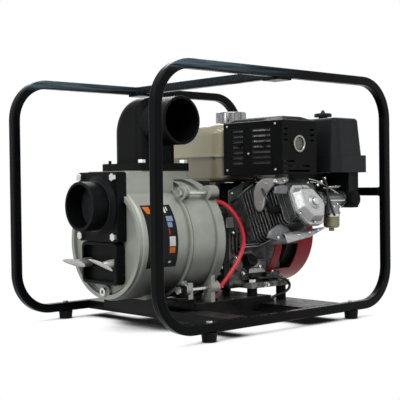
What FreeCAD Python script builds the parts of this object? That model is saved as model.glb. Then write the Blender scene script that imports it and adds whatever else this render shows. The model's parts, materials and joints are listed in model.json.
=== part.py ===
import FreeCAD, Part
import math
import os
import Sketcher

# Portable fire pump: a four-inch self-priming pump on a single-cylinder engine, in a tube
# roll cage.  Millimetres, +Z up, +X from the suction side to the recoil starter, origin on
# the ground under the middle of the cage.  Every driving size is a cell of the sheet.

SIZES = {
    # cage
    "loop_length": 788, "loop_height": 575, "loop_spacing": 549, "tube_side": 22.2,
    "tube_wall": 2, "tube_corner": 4, "bend_radius": 95, "rear_bar_rise": 290,
    "end_plate_length": 45, "end_plate_thick": 5, "end_plate_width": 52,
    "foot_height": 20, "foot_radius": 18, "foot_taper": 2, "foot_spacing": 496,
    "foot_bolt_radius": 4, "bolt_slack": 0.2,
    # base sheets
    "sheet": 3, "front_rail_width": 60, "front_rail_middle": 150,
    "rear_plate_width": 134, "rear_plate_middle": 147,
    "saddle_rise": 31, "saddle_length": 94, "saddle_width": 236, "saddle_middle": 193,
    "engine_plate_rise": 18, "engine_plate_length": 256, "engine_plate_width": 250,
    "engine_plate_middle": -18, "engine_plate_skirt": 31, "skirt_gap": 0.3,
    "saddle_notch_width": 124, "saddle_notch_depth": 12,
    "bracket_width": 34, "bracket_foot": 24, "bracket_thick": 5,
    # drive line
    "crank_rise": 131, "mount_height": 20, "mount_radius": 13, "engine_front": 20,
    "shaft_radius": 12.7, "running_fit": 0.05,
    # pump body
    "neck_length": 51, "neck_radius": 92, "rear_flange_thick": 27, "rear_flange_radius": 150,
    "adapter_depth": 74, "adapter_radius": 143, "casing_depth": 145, "casing_radius": 137,
    "casing_wall": 7, "split_flange_radius": 145, "split_flange_thick": 6,
    "front_ring_width": 10, "front_ring_proud": 8, "gasket": 1.5,
    "lug_radius": 17, "lug_across": 110, "lug_upper": 115, "lug_lower": 116,
    "tower_width": 150, "tower_rise": 168, "tower_shelf": 52, "shelf_thick": 20,
    "casing_bolt_radius": 5, "casing_bolt_head": 10,
    # suction port
    "suction_rise": 87, "port_radius": 57.15, "port_bore": 50.5, "suction_reach": 53,
    "suction_plate_width": 150, "suction_plate_height": 162, "suction_plate_thick": 24.5,
    "suction_plate_offset": -2, "suction_bolt_across": 64, "suction_bolt_up": 68.5,
    "collar_radius": 62, "collar_length": 9,
    "flange_bolt_radius": 5, "flange_bolt_head": 8, "bolt_depth": 12,
    "flap_radius": 56, "flap_thick": 6, "flap_pin_radius": 3, "flap_gap": 0.3, "flap_weight": 12,
    "flap_side_gap": 0.5,
    # discharge port
    "discharge_from_front": 120, "discharge_plate": 153, "discharge_plate_thick": 17,
    "discharge_bolt_across": 65, "elbow_width": 114, "elbow_turn": 84, "elbow_straight": 71.5,
    "elbow_corner": 26, "discharge_reach": 136, "elbow_heel": 9, "elbow_shoulder": 3,
    # cleanout cover
    "cleanout_width": 136, "cleanout_height": 99, "cleanout_thick": 24, "cleanout_drop": 46.5,
    "cleanout_corner": 14, "cleanout_rim": 8, "cleanout_recess": 14, "stud_radius": 5,
    "stud_across": 48, "stud_length": 52, "wing_span": 72, "wing_height": 24, "wing_thick": 8,
    "wing_hub_radius": 11, "wing_hub_length": 22, "near_wing_tilt": 18, "far_wing_tilt": 8,
    "drain_drop": 115, "drain_radius": 10, "drain_length": 8,
    # wet end
    "impeller_radius": 78, "impeller_thick": 30, "impeller_disc": 5, "hub_radius": 22,
    "vane_thick": 5, "volute_gap": 3, "volute_wall": 5, "eye_radius": 34,
    "seal_radius": 24, "seal_length": 12,
    # engine block
    "case_length": 186, "case_near": 88, "case_far": 90, "case_height": 205, "case_wall": 8,
    "case_corner": 16, "foot_pad_height": 14, "foot_pad_reach": 118, "foot_pad_length": 140,
    "foot_pad_start": 48, "foot_pad_width": 42, "mount_across": 103, "mount_span": 108,
    "mount_start": 64, "mount_bolt_radius": 5, "side_cover_thick": 18, "small_bolt_radius": 4,
    "bearing_radius": 31, "bearing_width": 16, "crank_throw": 32, "web_radius": 48,
    "web_thick": 16, "pin_radius": 17, "pin_length": 26, "post_radius": 11,
    "post_first": 44, "post_spacing": 88, "post_near": 11, "post_far": 76,
    "filler_along": 61, "filler_drop": 74, "filler_turn": 58, "filler_radius": 13.5,
    "filler_length": 20,
    # tilted cylinder
    "cylinder_tilt": 22, "cylinder_middle": 117, "bore_radius": 44, "liner_radius": 51,
    "deck": 114, "barrel_length": 64, "fin_width": 130, "fin_height": 140, "fin_offset": 6,
    "fin_thick": 2.6, "barrel_fins": 7, "head_length": 72, "head_fins": 6, "head_width": 128,
    "head_height": 118, "head_block_near": 46, "head_block_far": 58, "head_block_half": 45,
    "seat_start": 40, "rocker_flange": 7, "rocker_depth": 26, "rocker_width": 106,
    "rocker_height": 104, "rocker_drop": 16, "rocker_shift": 6, "rocker_corner": 26,
    "rocker_bolt": 9, "rocker_wall": 3, "rocker_taper": 12, "piston_height": 46, "piston_slack": 0.1,
    "crown_gap": 1, "plug_length": 62, "plug_radius": 5, "plug_rise": 38, "plug_up": -12,
    "guide_thick": 2.5, "guide_length": 118, "guide_left": 89, "guide_right": 118,
    "guide_lip": 26, "side_guide_base": -30, "side_guide_along": 99, "side_guide_low": -4,
    "side_guide_up": 77,
    # exhaust
    "guard_length": 125, "guard_width": 205, "guard_wall": 132, "guard_roof": 12,
    "guard_start": 36, "guard_near": 239, "guard_rise": 156.8, "guard_sheet": 1.5,
    "guard_hip": 28, "slot_rows": 7, "slot_height": 5, "slot_pitch": 13.5,
    "muffler_inset": 14, "muffler_wall": 2, "outlet_radius": 20, "outlet_along": 58,
    "outlet_drop": 57, "pipe_radius": 17, "pipe_along": 95,
    # fuel and air
    "tank_start": 30, "tank_length": 255, "tank_near": 27, "tank_width": 232,
    "tank_rise": 138.8, "tank_height": 154, "tank_corner": 46, "tank_seam": 67,
    "tank_sheet": 2, "tank_lip": 6, "tank_lip_thick": 4, "tank_top_round": 30,
    "tank_low_round": 14, "cap_radius": 42, "cap_height": 30, "cap_middle": 172,
    "cap_across": 76, "cap_wall": 3, "neck_radius_fuel": 30, "neck_rise": 24, "cap_lift": 8,
    "cleaner_start": 216, "cleaner_length": 120, "cleaner_near": 256, "cleaner_width": 187,
    "cleaner_rise": 204.8, "cleaner_height": 97, "cleaner_taper": 10, "cleaner_corner": 26,
    "cleaner_wall": 3, "tray_height": 44, "tray_lip": 9, "tray_ledge": 6,
    "duct_start": 298, "duct_length": 40, "duct_near": 231, "duct_width": 60,
    "duct_drop": 92, "knob_radius": 23, "knob_height": 18, "knob_along": 56, "knob_inset": 88,
    "knob_stud": 3, "intake_rise": 92, "intake_near": 202, "carb_start": 198,
    "carb_radius": 19, "throat_radius": 12, "bowl_radius": 21, "bowl_drop": 75,
    "bowl_along": 64, "lever_length": 30, "lever_width": 9, "lever_thick": 3,
    "lever_pin": 3, "throttle_along": 24, "choke_along": 76,
    # cooling and starter
    "fan_radius": 132, "fan_depth": 89, "fan_wall": 3, "fan_lip": 59, "lip_from": 8,
    "lip_to": 46, "window_from": 10, "window_to": 43, "window_start": 34, "window_end": 28,
    "starter_depth": 27, "starter_radius": 96, "flywheel_radius": 105, "flywheel_thick": 34,
    "flywheel_gap": 15, "flywheel_vanes": 12, "vane_height": 12,
    "grip_length": 66, "grip_radius": 10, "grip_across": 112, "grip_rise": 75,
    "guide_across": 50, "stem_radius": 5, "switch_radius": 12, "switch_across": 98,
    "switch_rise": 57, "switch_depth": 14, "oil_cap_radius": 16, "oil_cap_length": 12,
    # cable and hose
    "cable_radius": 5.5, "hose_radius": 3.5, "gland_length": 6, "gland_wall": 2.5,
}

doc = FreeCAD.newDocument("portable_fire_pump")
sheet = doc.addObject("Spreadsheet::Sheet", "Sizes")
for line, (alias, amount) in enumerate(SIZES.items(), 1):
    sheet.set("A%d" % line, alias)
    sheet.set("B%d" % line, str(amount))
    sheet.setAlias("B%d" % line, alias)
doc.recompute()


class Size:
    """A number together with the sheet formula that drives it."""

    def __init__(self, value, formula):
        self.value = float(value)
        self.formula = formula

    def __add__(self, other):
        other = size(other)
        return Size(self.value + other.value, "(%s + %s)" % (self.formula, other.formula))

    def __sub__(self, other):
        other = size(other)
        return Size(self.value - other.value, "(%s - %s)" % (self.formula, other.formula))

    def __mul__(self, other):
        other = size(other)
        return Size(self.value * other.value, "(%s * %s)" % (self.formula, other.formula))

    def __truediv__(self, other):
        other = size(other)
        return Size(self.value / other.value, "(%s / %s)" % (self.formula, other.formula))

    def __neg__(self):
        return Size(-self.value, "(0 - %s)" % self.formula)

    __radd__ = __add__
    __rmul__ = __mul__

    def __rsub__(self, other):
        return size(other) - self


def size(amount):
    """A plain number as a Size."""
    if isinstance(amount, Size):
        return amount
    return Size(amount, "(%r)" % float(amount))


class Sheet:
    """Reads a cell by its alias, as S.tube_side."""

    def __getattr__(self, alias):
        return Size(SIZES[alias], "Sizes." + alias)


S = Sheet()
NODES = {}


# ---------------------------------------------------------------- modelling helpers

def new(kind, name="Shape"):
    return doc.addObject(kind, name)


def bind(obj, **values):
    for name, amount in values.items():
        obj.setExpression(name, size(amount).formula)
    return obj


def move(obj, x=0, y=0, z=0):
    for letter, amount in (("x", x), ("y", y), ("z", z)):
        obj.setExpression("Placement.Base." + letter, size(amount).formula)
    return obj


def turn(obj, axis, degrees, x=0, y=0, z=0):
    """Turns obj about an axis letter by a Size of degrees, then moves its origin."""
    direction = {"X": (1, 0, 0), "Y": (0, 1, 0), "Z": (0, 0, 1)}[axis]
    rotation = FreeCAD.Rotation(FreeCAD.Vector(*direction), size(degrees).value)
    obj.Placement = FreeCAD.Placement(FreeCAD.Vector(), rotation)
    return move(obj, x, y, z)


def box(x, y, z, length, width, height):
    obj = bind(new("Part::Box", "Box"), Length=length, Width=width, Height=height)
    return move(obj, x, y, z)


def span(x0, x1, y0, y1, z0, z1):
    """A box between two corners."""
    x0, y0, z0 = size(x0), size(y0), size(z0)
    return box(x0, y0, z0, size(x1) - x0, size(y1) - y0, size(z1) - z0)


QUARTER_TURNS = {"X": ("Y", 90), "Y": ("X", -90), "Z": ("Z", 0)}


def rod(axis, x, y, z, radius, length):
    """A cylinder from a point along +axis."""
    obj = bind(new("Part::Cylinder", "Rod"), Radius=radius, Height=length)
    return turn(obj, *QUARTER_TURNS[axis], x, y, z)


def cone(axis, x, y, z, radius, end_radius, length):
    obj = bind(new("Part::Cone", "Cone"), Radius1=radius, Radius2=end_radius, Height=length)
    return turn(obj, *QUARTER_TURNS[axis], x, y, z)


def hexagon(axis, x, y, z, radius, length):
    obj = new("Part::Prism", "Hexagon")
    obj.Polygon = 6
    bind(obj, Circumradius=radius, Height=length)
    return turn(obj, *QUARTER_TURNS[axis], x, y, z)


def ball(x, y, z, radius):
    return move(bind(new("Part::Sphere", "Ball"), Radius=radius), x, y, z)


def ring(axis, x, y, z, outer, inner, length):
    return cut(rod(axis, x, y, z, outer, length), rod(axis, x, y, z, inner, length))


def fuse(*pieces):
    if len(pieces) == 1:
        return pieces[0]
    obj = new("Part::MultiFuse", "Fuse")
    obj.Shapes = list(pieces)
    obj.Refine = True
    return obj


def group(pieces):
    """Separate solids kept in one node."""
    obj = new("Part::Compound", "Group")
    obj.Links = list(pieces)
    return obj


def cut(base, *tools):
    obj = new("Part::Cut", "Cut")
    obj.Base = base
    obj.Tool = fuse(*tools)
    return obj


def common(base, other):
    obj = new("Part::Common", "Common")
    obj.Base = base
    obj.Tool = other
    return obj


def soften(base, radius, chosen):
    """Rounds the edges of base that the test picks."""
    doc.recompute()
    radius = size(radius).value
    obj = new("Part::Fillet", "Round")
    obj.Base = base
    edges = base.Shape.Edges
    obj.Edges = [(at + 1, radius, radius) for at, edge in enumerate(edges) if chosen(edge)]
    return obj


def along(*axes):
    """Picks straight edges that run along the given axes."""
    def test(edge):
        if edge.Curve.TypeId != "Part::GeomLine":
            return False
        way = edge.Curve.Direction
        parts = {"X": abs(way.x), "Y": abs(way.y), "Z": abs(way.z)}
        return any(parts[axis] > 0.999 for axis in axes)
    return test


def level(axis, height):
    """Picks edges that lie in one plane across an axis."""
    where = size(height).value

    def test(edge):
        low, high = {"X": (edge.BoundBox.XMin, edge.BoundBox.XMax),
                     "Y": (edge.BoundBox.YMin, edge.BoundBox.YMax),
                     "Z": (edge.BoundBox.ZMin, edge.BoundBox.ZMax)}[axis]
        return abs(low - where) < 0.01 and abs(high - where) < 0.01
    return test


def both(first, second):
    return lambda edge: first(edge) and second(edge)


class Arc:
    """The next stretch of an outline is an arc; left means that it bends to the left."""

    def __init__(self, radius, left=True):
        self.radius = size(radius)
        self.left = left


def new_body(name):
    return doc.addObject("PartDesign::Body", name)


def plane_of(body, role):
    for feature in body.Origin.OriginFeatures:
        if feature.Role == role:
            return feature
    raise ValueError(role)


def draw(body, plane, outlines, offset=0):
    """A sketch of closed outlines; each outline lists (u, v) corners and Arcs."""
    sketch = body.newObject("Sketcher::SketchObject", "Sketch")
    sketch.AttachmentSupport = [(plane_of(body, plane + "_Plane"), "")]
    sketch.MapMode = "FlatFace"
    sketch.setExpression("AttachmentOffset.Base.z", size(offset).formula)
    for outline in outlines:
        add_outline(sketch, outline)
    return sketch


def add_outline(sketch, outline):
    corners = []
    bends = []
    for step in outline:
        if isinstance(step, Arc):
            bends[-1] = step
        else:
            corners.append((size(step[0]), size(step[1])))
            bends.append(None)
    count = len(corners)
    first = sketch.GeometryCount
    points = [FreeCAD.Vector(u.value, v.value, 0) for u, v in corners]
    for at in range(count):
        start, end = points[at], points[(at + 1) % count]
        if bends[at] is None:
            sketch.addGeometry(Part.LineSegment(start, end), False)
        else:
            sketch.addGeometry(arc_through(start, end, bends[at]), False)
    for at in range(count):
        arc_before = bends[at - 1]
        start_point = 1 if bends[at] is None or bends[at].left else 2
        end_point = 2 if arc_before is None or arc_before.left else 1
        before = first + (at - 1) % count
        sketch.addConstraint(Sketcher.Constraint("Coincident", before, end_point,
                                                 first + at, start_point))
        pin_corner(sketch, first + at, start_point, corners[at])
        if bends[at] is not None:
            index = sketch.addConstraint(
                Sketcher.Constraint("Radius", first + at, bends[at].radius.value))
            sketch.setExpression("Constraints[%d]" % index, bends[at].radius.formula)


def pin_corner(sketch, geometry, point, corner):
    for kind, amount, other in (("DistanceX", corner[0], -2), ("DistanceY", corner[1], -1)):
        if amount.value == 0:
            sketch.addConstraint(Sketcher.Constraint("PointOnObject", geometry, point, other))
        else:
            index = sketch.addConstraint(
                Sketcher.Constraint(kind, -1, 1, geometry, point, amount.value))
            sketch.setExpression("Constraints[%d]" % index, amount.formula)


def arc_through(start, end, bend):
    chord = end - start
    half = chord.Length / 2
    radius = max(bend.radius.value, half)
    rise = math.sqrt(max(radius * radius - half * half, 0))
    side = FreeCAD.Vector(-chord.y, chord.x, 0).normalize()
    middle = (start + end) / 2
    centre = middle + side * (rise if bend.left else -rise)
    apex = centre - side * (radius if bend.left else -radius)
    if bend.left:
        return Part.Arc(start, apex, end)
    return Part.Arc(end, apex, start)


def rounded(u0, v0, u1, v1, radius):
    """A rectangle with round corners, drawn anticlockwise."""
    u0, v0, u1, v1, radius = size(u0), size(v0), size(u1), size(v1), size(radius)
    return [(u0 + radius, v0), (u1 - radius, v0), Arc(radius), (u1, v0 + radius),
            (u1, v1 - radius), Arc(radius), (u1 - radius, v1), (u0 + radius, v1),
            Arc(radius), (u0, v1 - radius), (u0, v0 + radius), Arc(radius)]


def pad(body, sketch, length, middle=False, back=False):
    obj = body.newObject("PartDesign::Pad", "Pad")
    obj.Profile = sketch
    if middle:
        obj.SideType = "Symmetric"
    obj.Reversed = back
    obj.setExpression("Length", size(length).formula)
    return obj


def extrude(name, plane, outlines, length, offset=0, middle=False, back=False):
    body = new_body(name)
    pad(body, draw(body, plane, outlines, offset), length, middle, back)
    return body


def node(name, obj):
    obj.Label = name
    NODES[name] = obj
    return obj


def shifted(axis, point, distance):
    """A point moved along an axis letter."""
    return [value + distance if letter == axis else value
            for letter, value in zip("XYZ", point)]


def bolt(axis, point, radius, head, shank, down=False):
    """A hexagon bolt; point is under its head, and the shank runs along +axis, or -axis."""
    head_start = point if down else shifted(axis, point, -size(head))
    shank_start = shifted(axis, point, -size(shank)) if down else point
    return fuse(hexagon(axis, *head_start, radius * HEAD_RATIO, head),
                rod(axis, *shank_start, radius, shank))


def tilted(obj):
    """Stands a piece drawn along +Z from the crank axis on the tilted cylinder axis."""
    return turn(obj, "X", 90 - S.cylinder_tilt, S.cylinder_middle, 0, AXIS)


# ---------------------------------------------------------------- places that pieces share

HEAD_RATIO = 1.9
BAR_TOP = S.foot_height + S.tube_side
PLATE_TOP = BAR_TOP + S.engine_plate_rise
SADDLE_TOP = BAR_TOP + S.saddle_rise
CASE_BASE = PLATE_TOP + S.mount_height
AXIS = CASE_BASE + S.crank_rise
LOOP_Y = S.loop_spacing / 2
INNER_Y = LOOP_Y - S.tube_side / 2
ENGINE_X = -S.engine_front
FLANGE_BACK = ENGINE_X - S.neck_length
FLANGE_FRONT = FLANGE_BACK - S.rear_flange_thick
SPLIT = FLANGE_FRONT - S.adapter_depth
CASING_END = SPLIT - S.gasket
LUG_FRONT = CASING_END - S.split_flange_thick
FRONT = SPLIT - S.casing_depth
SUCTION_Z = AXIS + S.suction_rise
PLATE_FACE = FRONT - S.gasket
PLATE_X = PLATE_FACE - S.suction_plate_thick
DISCHARGE_X = FRONT + S.discharge_from_front
TOWER_TOP = AXIS + S.tower_rise
ELBOW_BASE = TOWER_TOP + S.gasket
ELBOW_START = ELBOW_BASE + S.discharge_plate_thick
ELBOW_TOP = ELBOW_START + S.elbow_straight + S.elbow_turn
OUTLET_Z = ELBOW_TOP - S.port_radius
COVER_Z = AXIS - S.cleanout_drop
SHAFT_HOLE = S.shaft_radius + S.running_fit
LUGS = [(side * S.lug_across, rise) for side in (-1, 1) for rise in (S.lug_upper, -S.lug_lower)]
SIDES = (-1, 1)


# ---------------------------------------------------------------- cage

def loop_outline(inset):
    """The loop's outer edge moved inwards by inset, as a rounded rectangle."""
    reach = (S.loop_length + S.tube_side) / 2 - inset
    top = BAR_TOP + S.loop_height - inset
    return rounded(-reach, S.foot_height + inset, reach, top,
                   S.bend_radius + S.tube_side / 2 - inset)


def side_loop(name, y):
    """A closed loop of square tube with four bends and two foot-bolt holes."""
    outer = extrude(name + "_outside", "XZ", [loop_outline(size(0)), loop_outline(S.tube_side)],
                    S.tube_side, middle=True)
    half = S.tube_side / 2
    outer = soften(outer, S.tube_corner, lambda edge: level("Y", half)(edge)
                   or level("Y", -half)(edge))
    inside = extrude(name + "_inside", "XZ",
                     [loop_outline(S.tube_wall), loop_outline(S.tube_side - S.tube_wall)],
                     S.tube_side - 2 * S.tube_wall, middle=True)
    holes = [rod("Z", side * S.foot_spacing / 2, 0, S.foot_height - 1,
                 S.foot_bolt_radius + S.bolt_slack, S.tube_side + 2) for side in SIDES]
    return node(name, move(cut(outer, inside, *holes), 0, y, 0))


def cross_tube(x, z):
    """A square tube from loop to loop about the point (x, z)."""
    half = S.tube_side / 2
    inner = half - S.tube_wall
    outside = soften(span(x - half, x + half, -INNER_Y, INNER_Y, z - half, z + half),
                     S.tube_corner, along("Y"))
    return cut(outside, span(x - inner, x + inner, -INNER_Y - 1, INNER_Y + 1,
                             z - inner, z + inner))


def top_cross_bar():
    """The lifting bar with a welded gusset plate under each end."""
    under = S.foot_height + S.loop_height
    reach = S.end_plate_length / 2
    edge = LOOP_Y + S.tube_side / 2 - S.tube_corner
    plates = [span(-reach, reach, *sorted((side * (edge - S.end_plate_width), side * edge),
                                          key=lambda amount: amount.value),
                   under - S.end_plate_thick, under) for side in SIDES]
    return node("top_cross_bar", fuse(cross_tube(size(0), under + S.tube_side / 2), *plates))


def rear_cross_bar():
    return node("rear_cross_bar", cross_tube(S.loop_length / 2,
                                             S.foot_height + S.tube_side / 2 + S.rear_bar_rise))


def channel(x0, x1, y0, y1, top, depth):
    """A sheet bent down along its two long edges, which run along Y."""
    return cut(span(x0, x1, y0, y1, top - depth, top),
               span(x0 + S.sheet, x1 - S.sheet, y0 - 1, y1 + 1, top - depth - 1, top - S.sheet))


def base_sheets():
    """The two cross channels, the engine plate and the pump saddle."""
    rail_end = -S.front_rail_middle + S.front_rail_width / 2
    plate_start = S.rear_plate_middle - S.rear_plate_width / 2
    plate_end = S.rear_plate_middle + S.rear_plate_width / 2
    node("front_base_rail", channel(rail_end - S.front_rail_width, rail_end, -INNER_Y, INNER_Y,
                                    BAR_TOP, S.tube_side))
    rear = channel(plate_start, plate_end, -INNER_Y, INNER_Y, BAR_TOP, S.tube_side)
    holes = [rod("Z", x, y, BAR_TOP - S.tube_side, S.mount_bolt_radius + S.bolt_slack,
                 S.tube_side + 1) for x, y in MOUNTS[2:]]
    node("rear_base_plate", cut(rear, *holes))
    engine_plate(rail_end, plate_start)
    pump_saddle()


def engine_plate(rail_end, plate_start):
    """A top sheet with a skirt along each side, let in between the cross channels."""
    start = S.engine_plate_middle - S.engine_plate_length / 2
    end = S.engine_plate_middle + S.engine_plate_length / 2
    low = PLATE_TOP - S.engine_plate_skirt
    skirt = [(start, BAR_TOP), (rail_end + S.skirt_gap, BAR_TOP), (rail_end + S.skirt_gap, low),
             (plate_start - S.skirt_gap, low), (plate_start - S.skirt_gap, BAR_TOP),
             (end, BAR_TOP), (end, PLATE_TOP), (start, PLATE_TOP)]
    half = S.engine_plate_width / 2
    skirts = []
    for y in (half, -half + S.sheet):
        skirts.append(move(extrude("skirt", "XZ", [skirt], S.sheet), 0, y, 0))
    top = span(start, end, -half, half, PLATE_TOP - S.sheet, PLATE_TOP)
    holes = [rod("Z", x, y, PLATE_TOP - S.sheet - 1, S.mount_bolt_radius + S.bolt_slack,
                 S.sheet + 2) for x, y in MOUNTS[:2]]
    node("engine_base_plate", cut(fuse(top, *skirts), *holes))


def pump_saddle():
    """The channel under the casing, with a welded angle bracket to each lower lug."""
    middle = -S.saddle_middle
    half = S.saddle_width / 2
    pieces = [channel(middle - S.saddle_length / 2, middle + S.saddle_length / 2, -half, half,
                      SADDLE_TOP, S.saddle_rise)]
    holes = []
    for side in SIDES:
        y0 = side * S.lug_across - S.bracket_width / 2
        wall_x = LUG_FRONT - S.bracket_thick
        top = AXIS - S.lug_lower + S.lug_radius * 0.7
        wall = span(wall_x, LUG_FRONT, y0, y0 + S.bracket_width, SADDLE_TOP, top)
        pieces.append(soften(wall, S.bracket_thick, both(along("X"), level("Z", top))))
        pieces.append(span(wall_x - S.bracket_foot, wall_x, y0, y0 + S.bracket_width,
                           SADDLE_TOP, SADDLE_TOP + S.bracket_thick))
        holes.append(rod("X", wall_x - 1, side * S.lug_across, AXIS - S.lug_lower,
                         S.casing_bolt_radius + S.bolt_slack, S.bracket_thick + 2))
    notch = S.saddle_notch_width / 2
    holes.append(span(LUG_FRONT - 1, middle + S.saddle_length / 2 + 1, -notch, notch,
                      SADDLE_TOP - S.saddle_notch_depth, SADDLE_TOP + 1))
    node("pump_saddle", cut(fuse(*pieces), *holes))


def feet():
    blind = S.foot_height * 0.4
    rubber = []
    bolts = []
    for side_x in SIDES:
        for side_y in SIDES:
            x, y = side_x * S.foot_spacing / 2, side_y * LOOP_Y
            foot = cone("Z", x, y, 0, S.foot_radius - S.foot_taper, S.foot_radius, S.foot_height)
            hole = rod("Z", x, y, blind, S.foot_bolt_radius + S.bolt_slack, S.foot_height)
            rubber.append(cut(foot, hole))
            bolts.append(bolt("Z", (x, y, BAR_TOP), S.foot_bolt_radius, S.foot_bolt_radius,
                              BAR_TOP - blind, down=True))
    node("rubber_feet", group(rubber))
    bolts += cover_bolts() + [drain_bolt(), rocker_cover_bolt()]
    node("small_bolts", group(bolts))


def mounts():
    """Four rubber engine mounts; the recoil-end pair stands on the lower rear plate."""
    rubber = []
    bolts = []
    pad_top = CASE_BASE + S.foot_pad_height
    for at, (x, y) in enumerate(MOUNTS):
        seat = PLATE_TOP if at < 2 else BAR_TOP
        hole = S.mount_bolt_radius + S.bolt_slack
        rubber.append(ring("Z", x, y, seat, S.mount_radius, hole, CASE_BASE - seat))
        nut_height = S.mount_bolt_radius * 1.6
        shank = pad_top - seat + S.sheet + nut_height
        bolts.append(bolt("Z", (x, y, pad_top), S.mount_bolt_radius, nut_height, shank,
                          down=True))
        nut = hexagon("Z", x, y, seat - S.sheet - nut_height,
                      S.mount_bolt_radius * HEAD_RATIO, nut_height)
        bolts.append(cut(nut, rod("Z", x, y, seat - S.sheet - nut_height, S.mount_bolt_radius,
                                  nut_height)))
    node("engine_mounts", group(rubber))
    node("engine_mount_bolts", group(bolts))


MOUNTS = [(x, side * S.mount_across) for x in (S.mount_start, S.mount_start + S.mount_span)
          for side in SIDES]


# ---------------------------------------------------------------- pump

def lug_set(x, length):
    """Four bolt lugs about the pump axis, each run into the round flange."""
    lugs = []
    for y, rise in LUGS:
        for share in (1, LUG_ROOT):
            lugs.append(rod("X", x, y * share, AXIS + rise * share, S.lug_radius, length))
    return lugs


def lug_holes(x, length):
    return [rod("X", x, y, AXIS + rise, S.casing_bolt_radius + S.bolt_slack, length)
            for y, rise in LUGS]


LUG_ROOT = 0.86
SUCTION_BOLTS = [(a * S.suction_bolt_across, SUCTION_Z + S.suction_plate_offset
                  + b * S.suction_bolt_up) for a in SIDES for b in SIDES]
DISCHARGE_BOLTS = [(DISCHARGE_X + a * S.discharge_bolt_across, b * S.discharge_bolt_across)
                   for a in SIDES for b in SIDES]
FLAP_HINGE_Z = SUCTION_Z + S.flap_radius + 2 * S.flap_pin_radius
FLAP_X = FRONT + S.casing_wall + S.flap_gap
BARREL_RADIUS = S.flap_pin_radius * 1.8
HINGE_X = FLAP_X + BARREL_RADIUS + S.flap_gap


def pump_casing():
    """A round tank with a square tower that carries both ports, hollow throughout."""
    wall = S.casing_wall
    half = S.tower_width / 2
    drum = soften(rod("X", FRONT, 0, AXIS, S.casing_radius, CASING_END - FRONT), wall,
                  level("X", FRONT))
    flange = rod("X", LUG_FRONT, 0, AXIS, S.split_flange_radius, S.split_flange_thick)
    tower = soften(span(FRONT, CASING_END, -half, half, AXIS, TOWER_TOP), wall,
                   both(along("Z"), level("X", FRONT)))
    shelf_end = CASING_END + S.tower_shelf
    shelf = soften(span(CASING_END - wall, shelf_end, -half, half, TOWER_TOP - S.shelf_thick,
                        TOWER_TOP), wall, both(along("Z"), level("X", shelf_end)))
    foot = span(FRONT + S.cleanout_thick * 3, FRONT + S.cleanout_thick * 5, -half * 0.7,
                half * 0.7, SADDLE_TOP, AXIS - S.casing_radius * 0.9)
    outer = S.casing_radius - S.front_ring_proud / 2
    trim = cut(ring("X", FRONT - S.front_ring_proud, 0, AXIS, outer,
                    outer - S.front_ring_width, S.front_ring_proud + wall),
               span(FRONT - S.front_ring_proud - 1, FRONT, -half - 1, half + 1, AXIS,
                    AXIS + S.casing_radius))
    boss = rod("X", FRONT - S.front_ring_proud, 0, AXIS - S.drain_drop, S.drain_radius * 1.6,
               S.front_ring_proud + wall)
    body = fuse(drum, flange, tower, shelf, foot, trim, boss, *lug_set(LUG_FRONT,
                                                                      S.split_flange_thick))
    inner = FRONT + wall
    cuts = [rod("X", inner, 0, AXIS, S.casing_radius - wall, S.casing_depth),
            span(inner, CASING_END - wall, -half + wall, half - wall, AXIS, TOWER_TOP - wall),
            rod("Z", DISCHARGE_X, 0, TOWER_TOP - 2 * wall, S.port_bore, 2 * wall + 1),
            rod("X", FRONT - 1, 0, SUCTION_Z, S.port_bore, wall + 2),
            span(FRONT - 1, inner + 1, -CLEAN_OPEN_Y, CLEAN_OPEN_Y, COVER_Z - CLEAN_OPEN_Z,
                 COVER_Z + CLEAN_OPEN_Z),
            rod("X", FRONT - S.front_ring_proud - 1, 0, AXIS - S.drain_drop,
                S.drain_radius * DRAIN_THREAD + S.running_fit, S.front_ring_proud + 2 * wall)]
    cuts += lug_holes(LUG_FRONT - 1, S.split_flange_thick + 2)
    tap = S.flange_bolt_radius + S.running_fit
    cuts += [rod("X", FRONT - 1, y, z, tap, S.bolt_depth + 2) for y, z in SUCTION_BOLTS]
    cuts += [rod("Z", x, y, TOWER_TOP - S.bolt_depth - 1, tap, S.bolt_depth + 2)
             for x, y in DISCHARGE_BOLTS]
    cuts += [rod("X", FRONT - 1, side * S.stud_across, COVER_Z, S.stud_radius + S.running_fit,
                 wall + 2) for side in SIDES]
    casing = cut(body, *cuts)
    node("pump_casing", fuse(casing, *flap_lugs(inner)))


CLEAN_OPEN_Y = S.stud_across - S.stud_radius * 2
CLEAN_OPEN_Z = S.cleanout_height / 2 - 2 * S.cleanout_rim
DRAIN_THREAD = 0.8


def flap_lugs(inner):
    """Two ears inside the tower that hold the flap's hinge pin."""
    ears = []
    reach = S.flap_pin_radius * 2
    for side in SIDES:
        start = side * FLAP_EAR + (S.flap_side_gap if side > 0 else -S.flap_side_gap - reach)
        ear = span(inner - 1, HINGE_X + reach, start, start + reach,
                   FLAP_HINGE_Z - reach * 0.6, FLAP_HINGE_Z + reach)
        ears.append(cut(ear, rod("Y", HINGE_X, start - 1, FLAP_HINGE_Z, S.flap_pin_radius,
                                 reach + 2)))
    return ears


FLAP_EAR = S.flap_radius / 4


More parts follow.
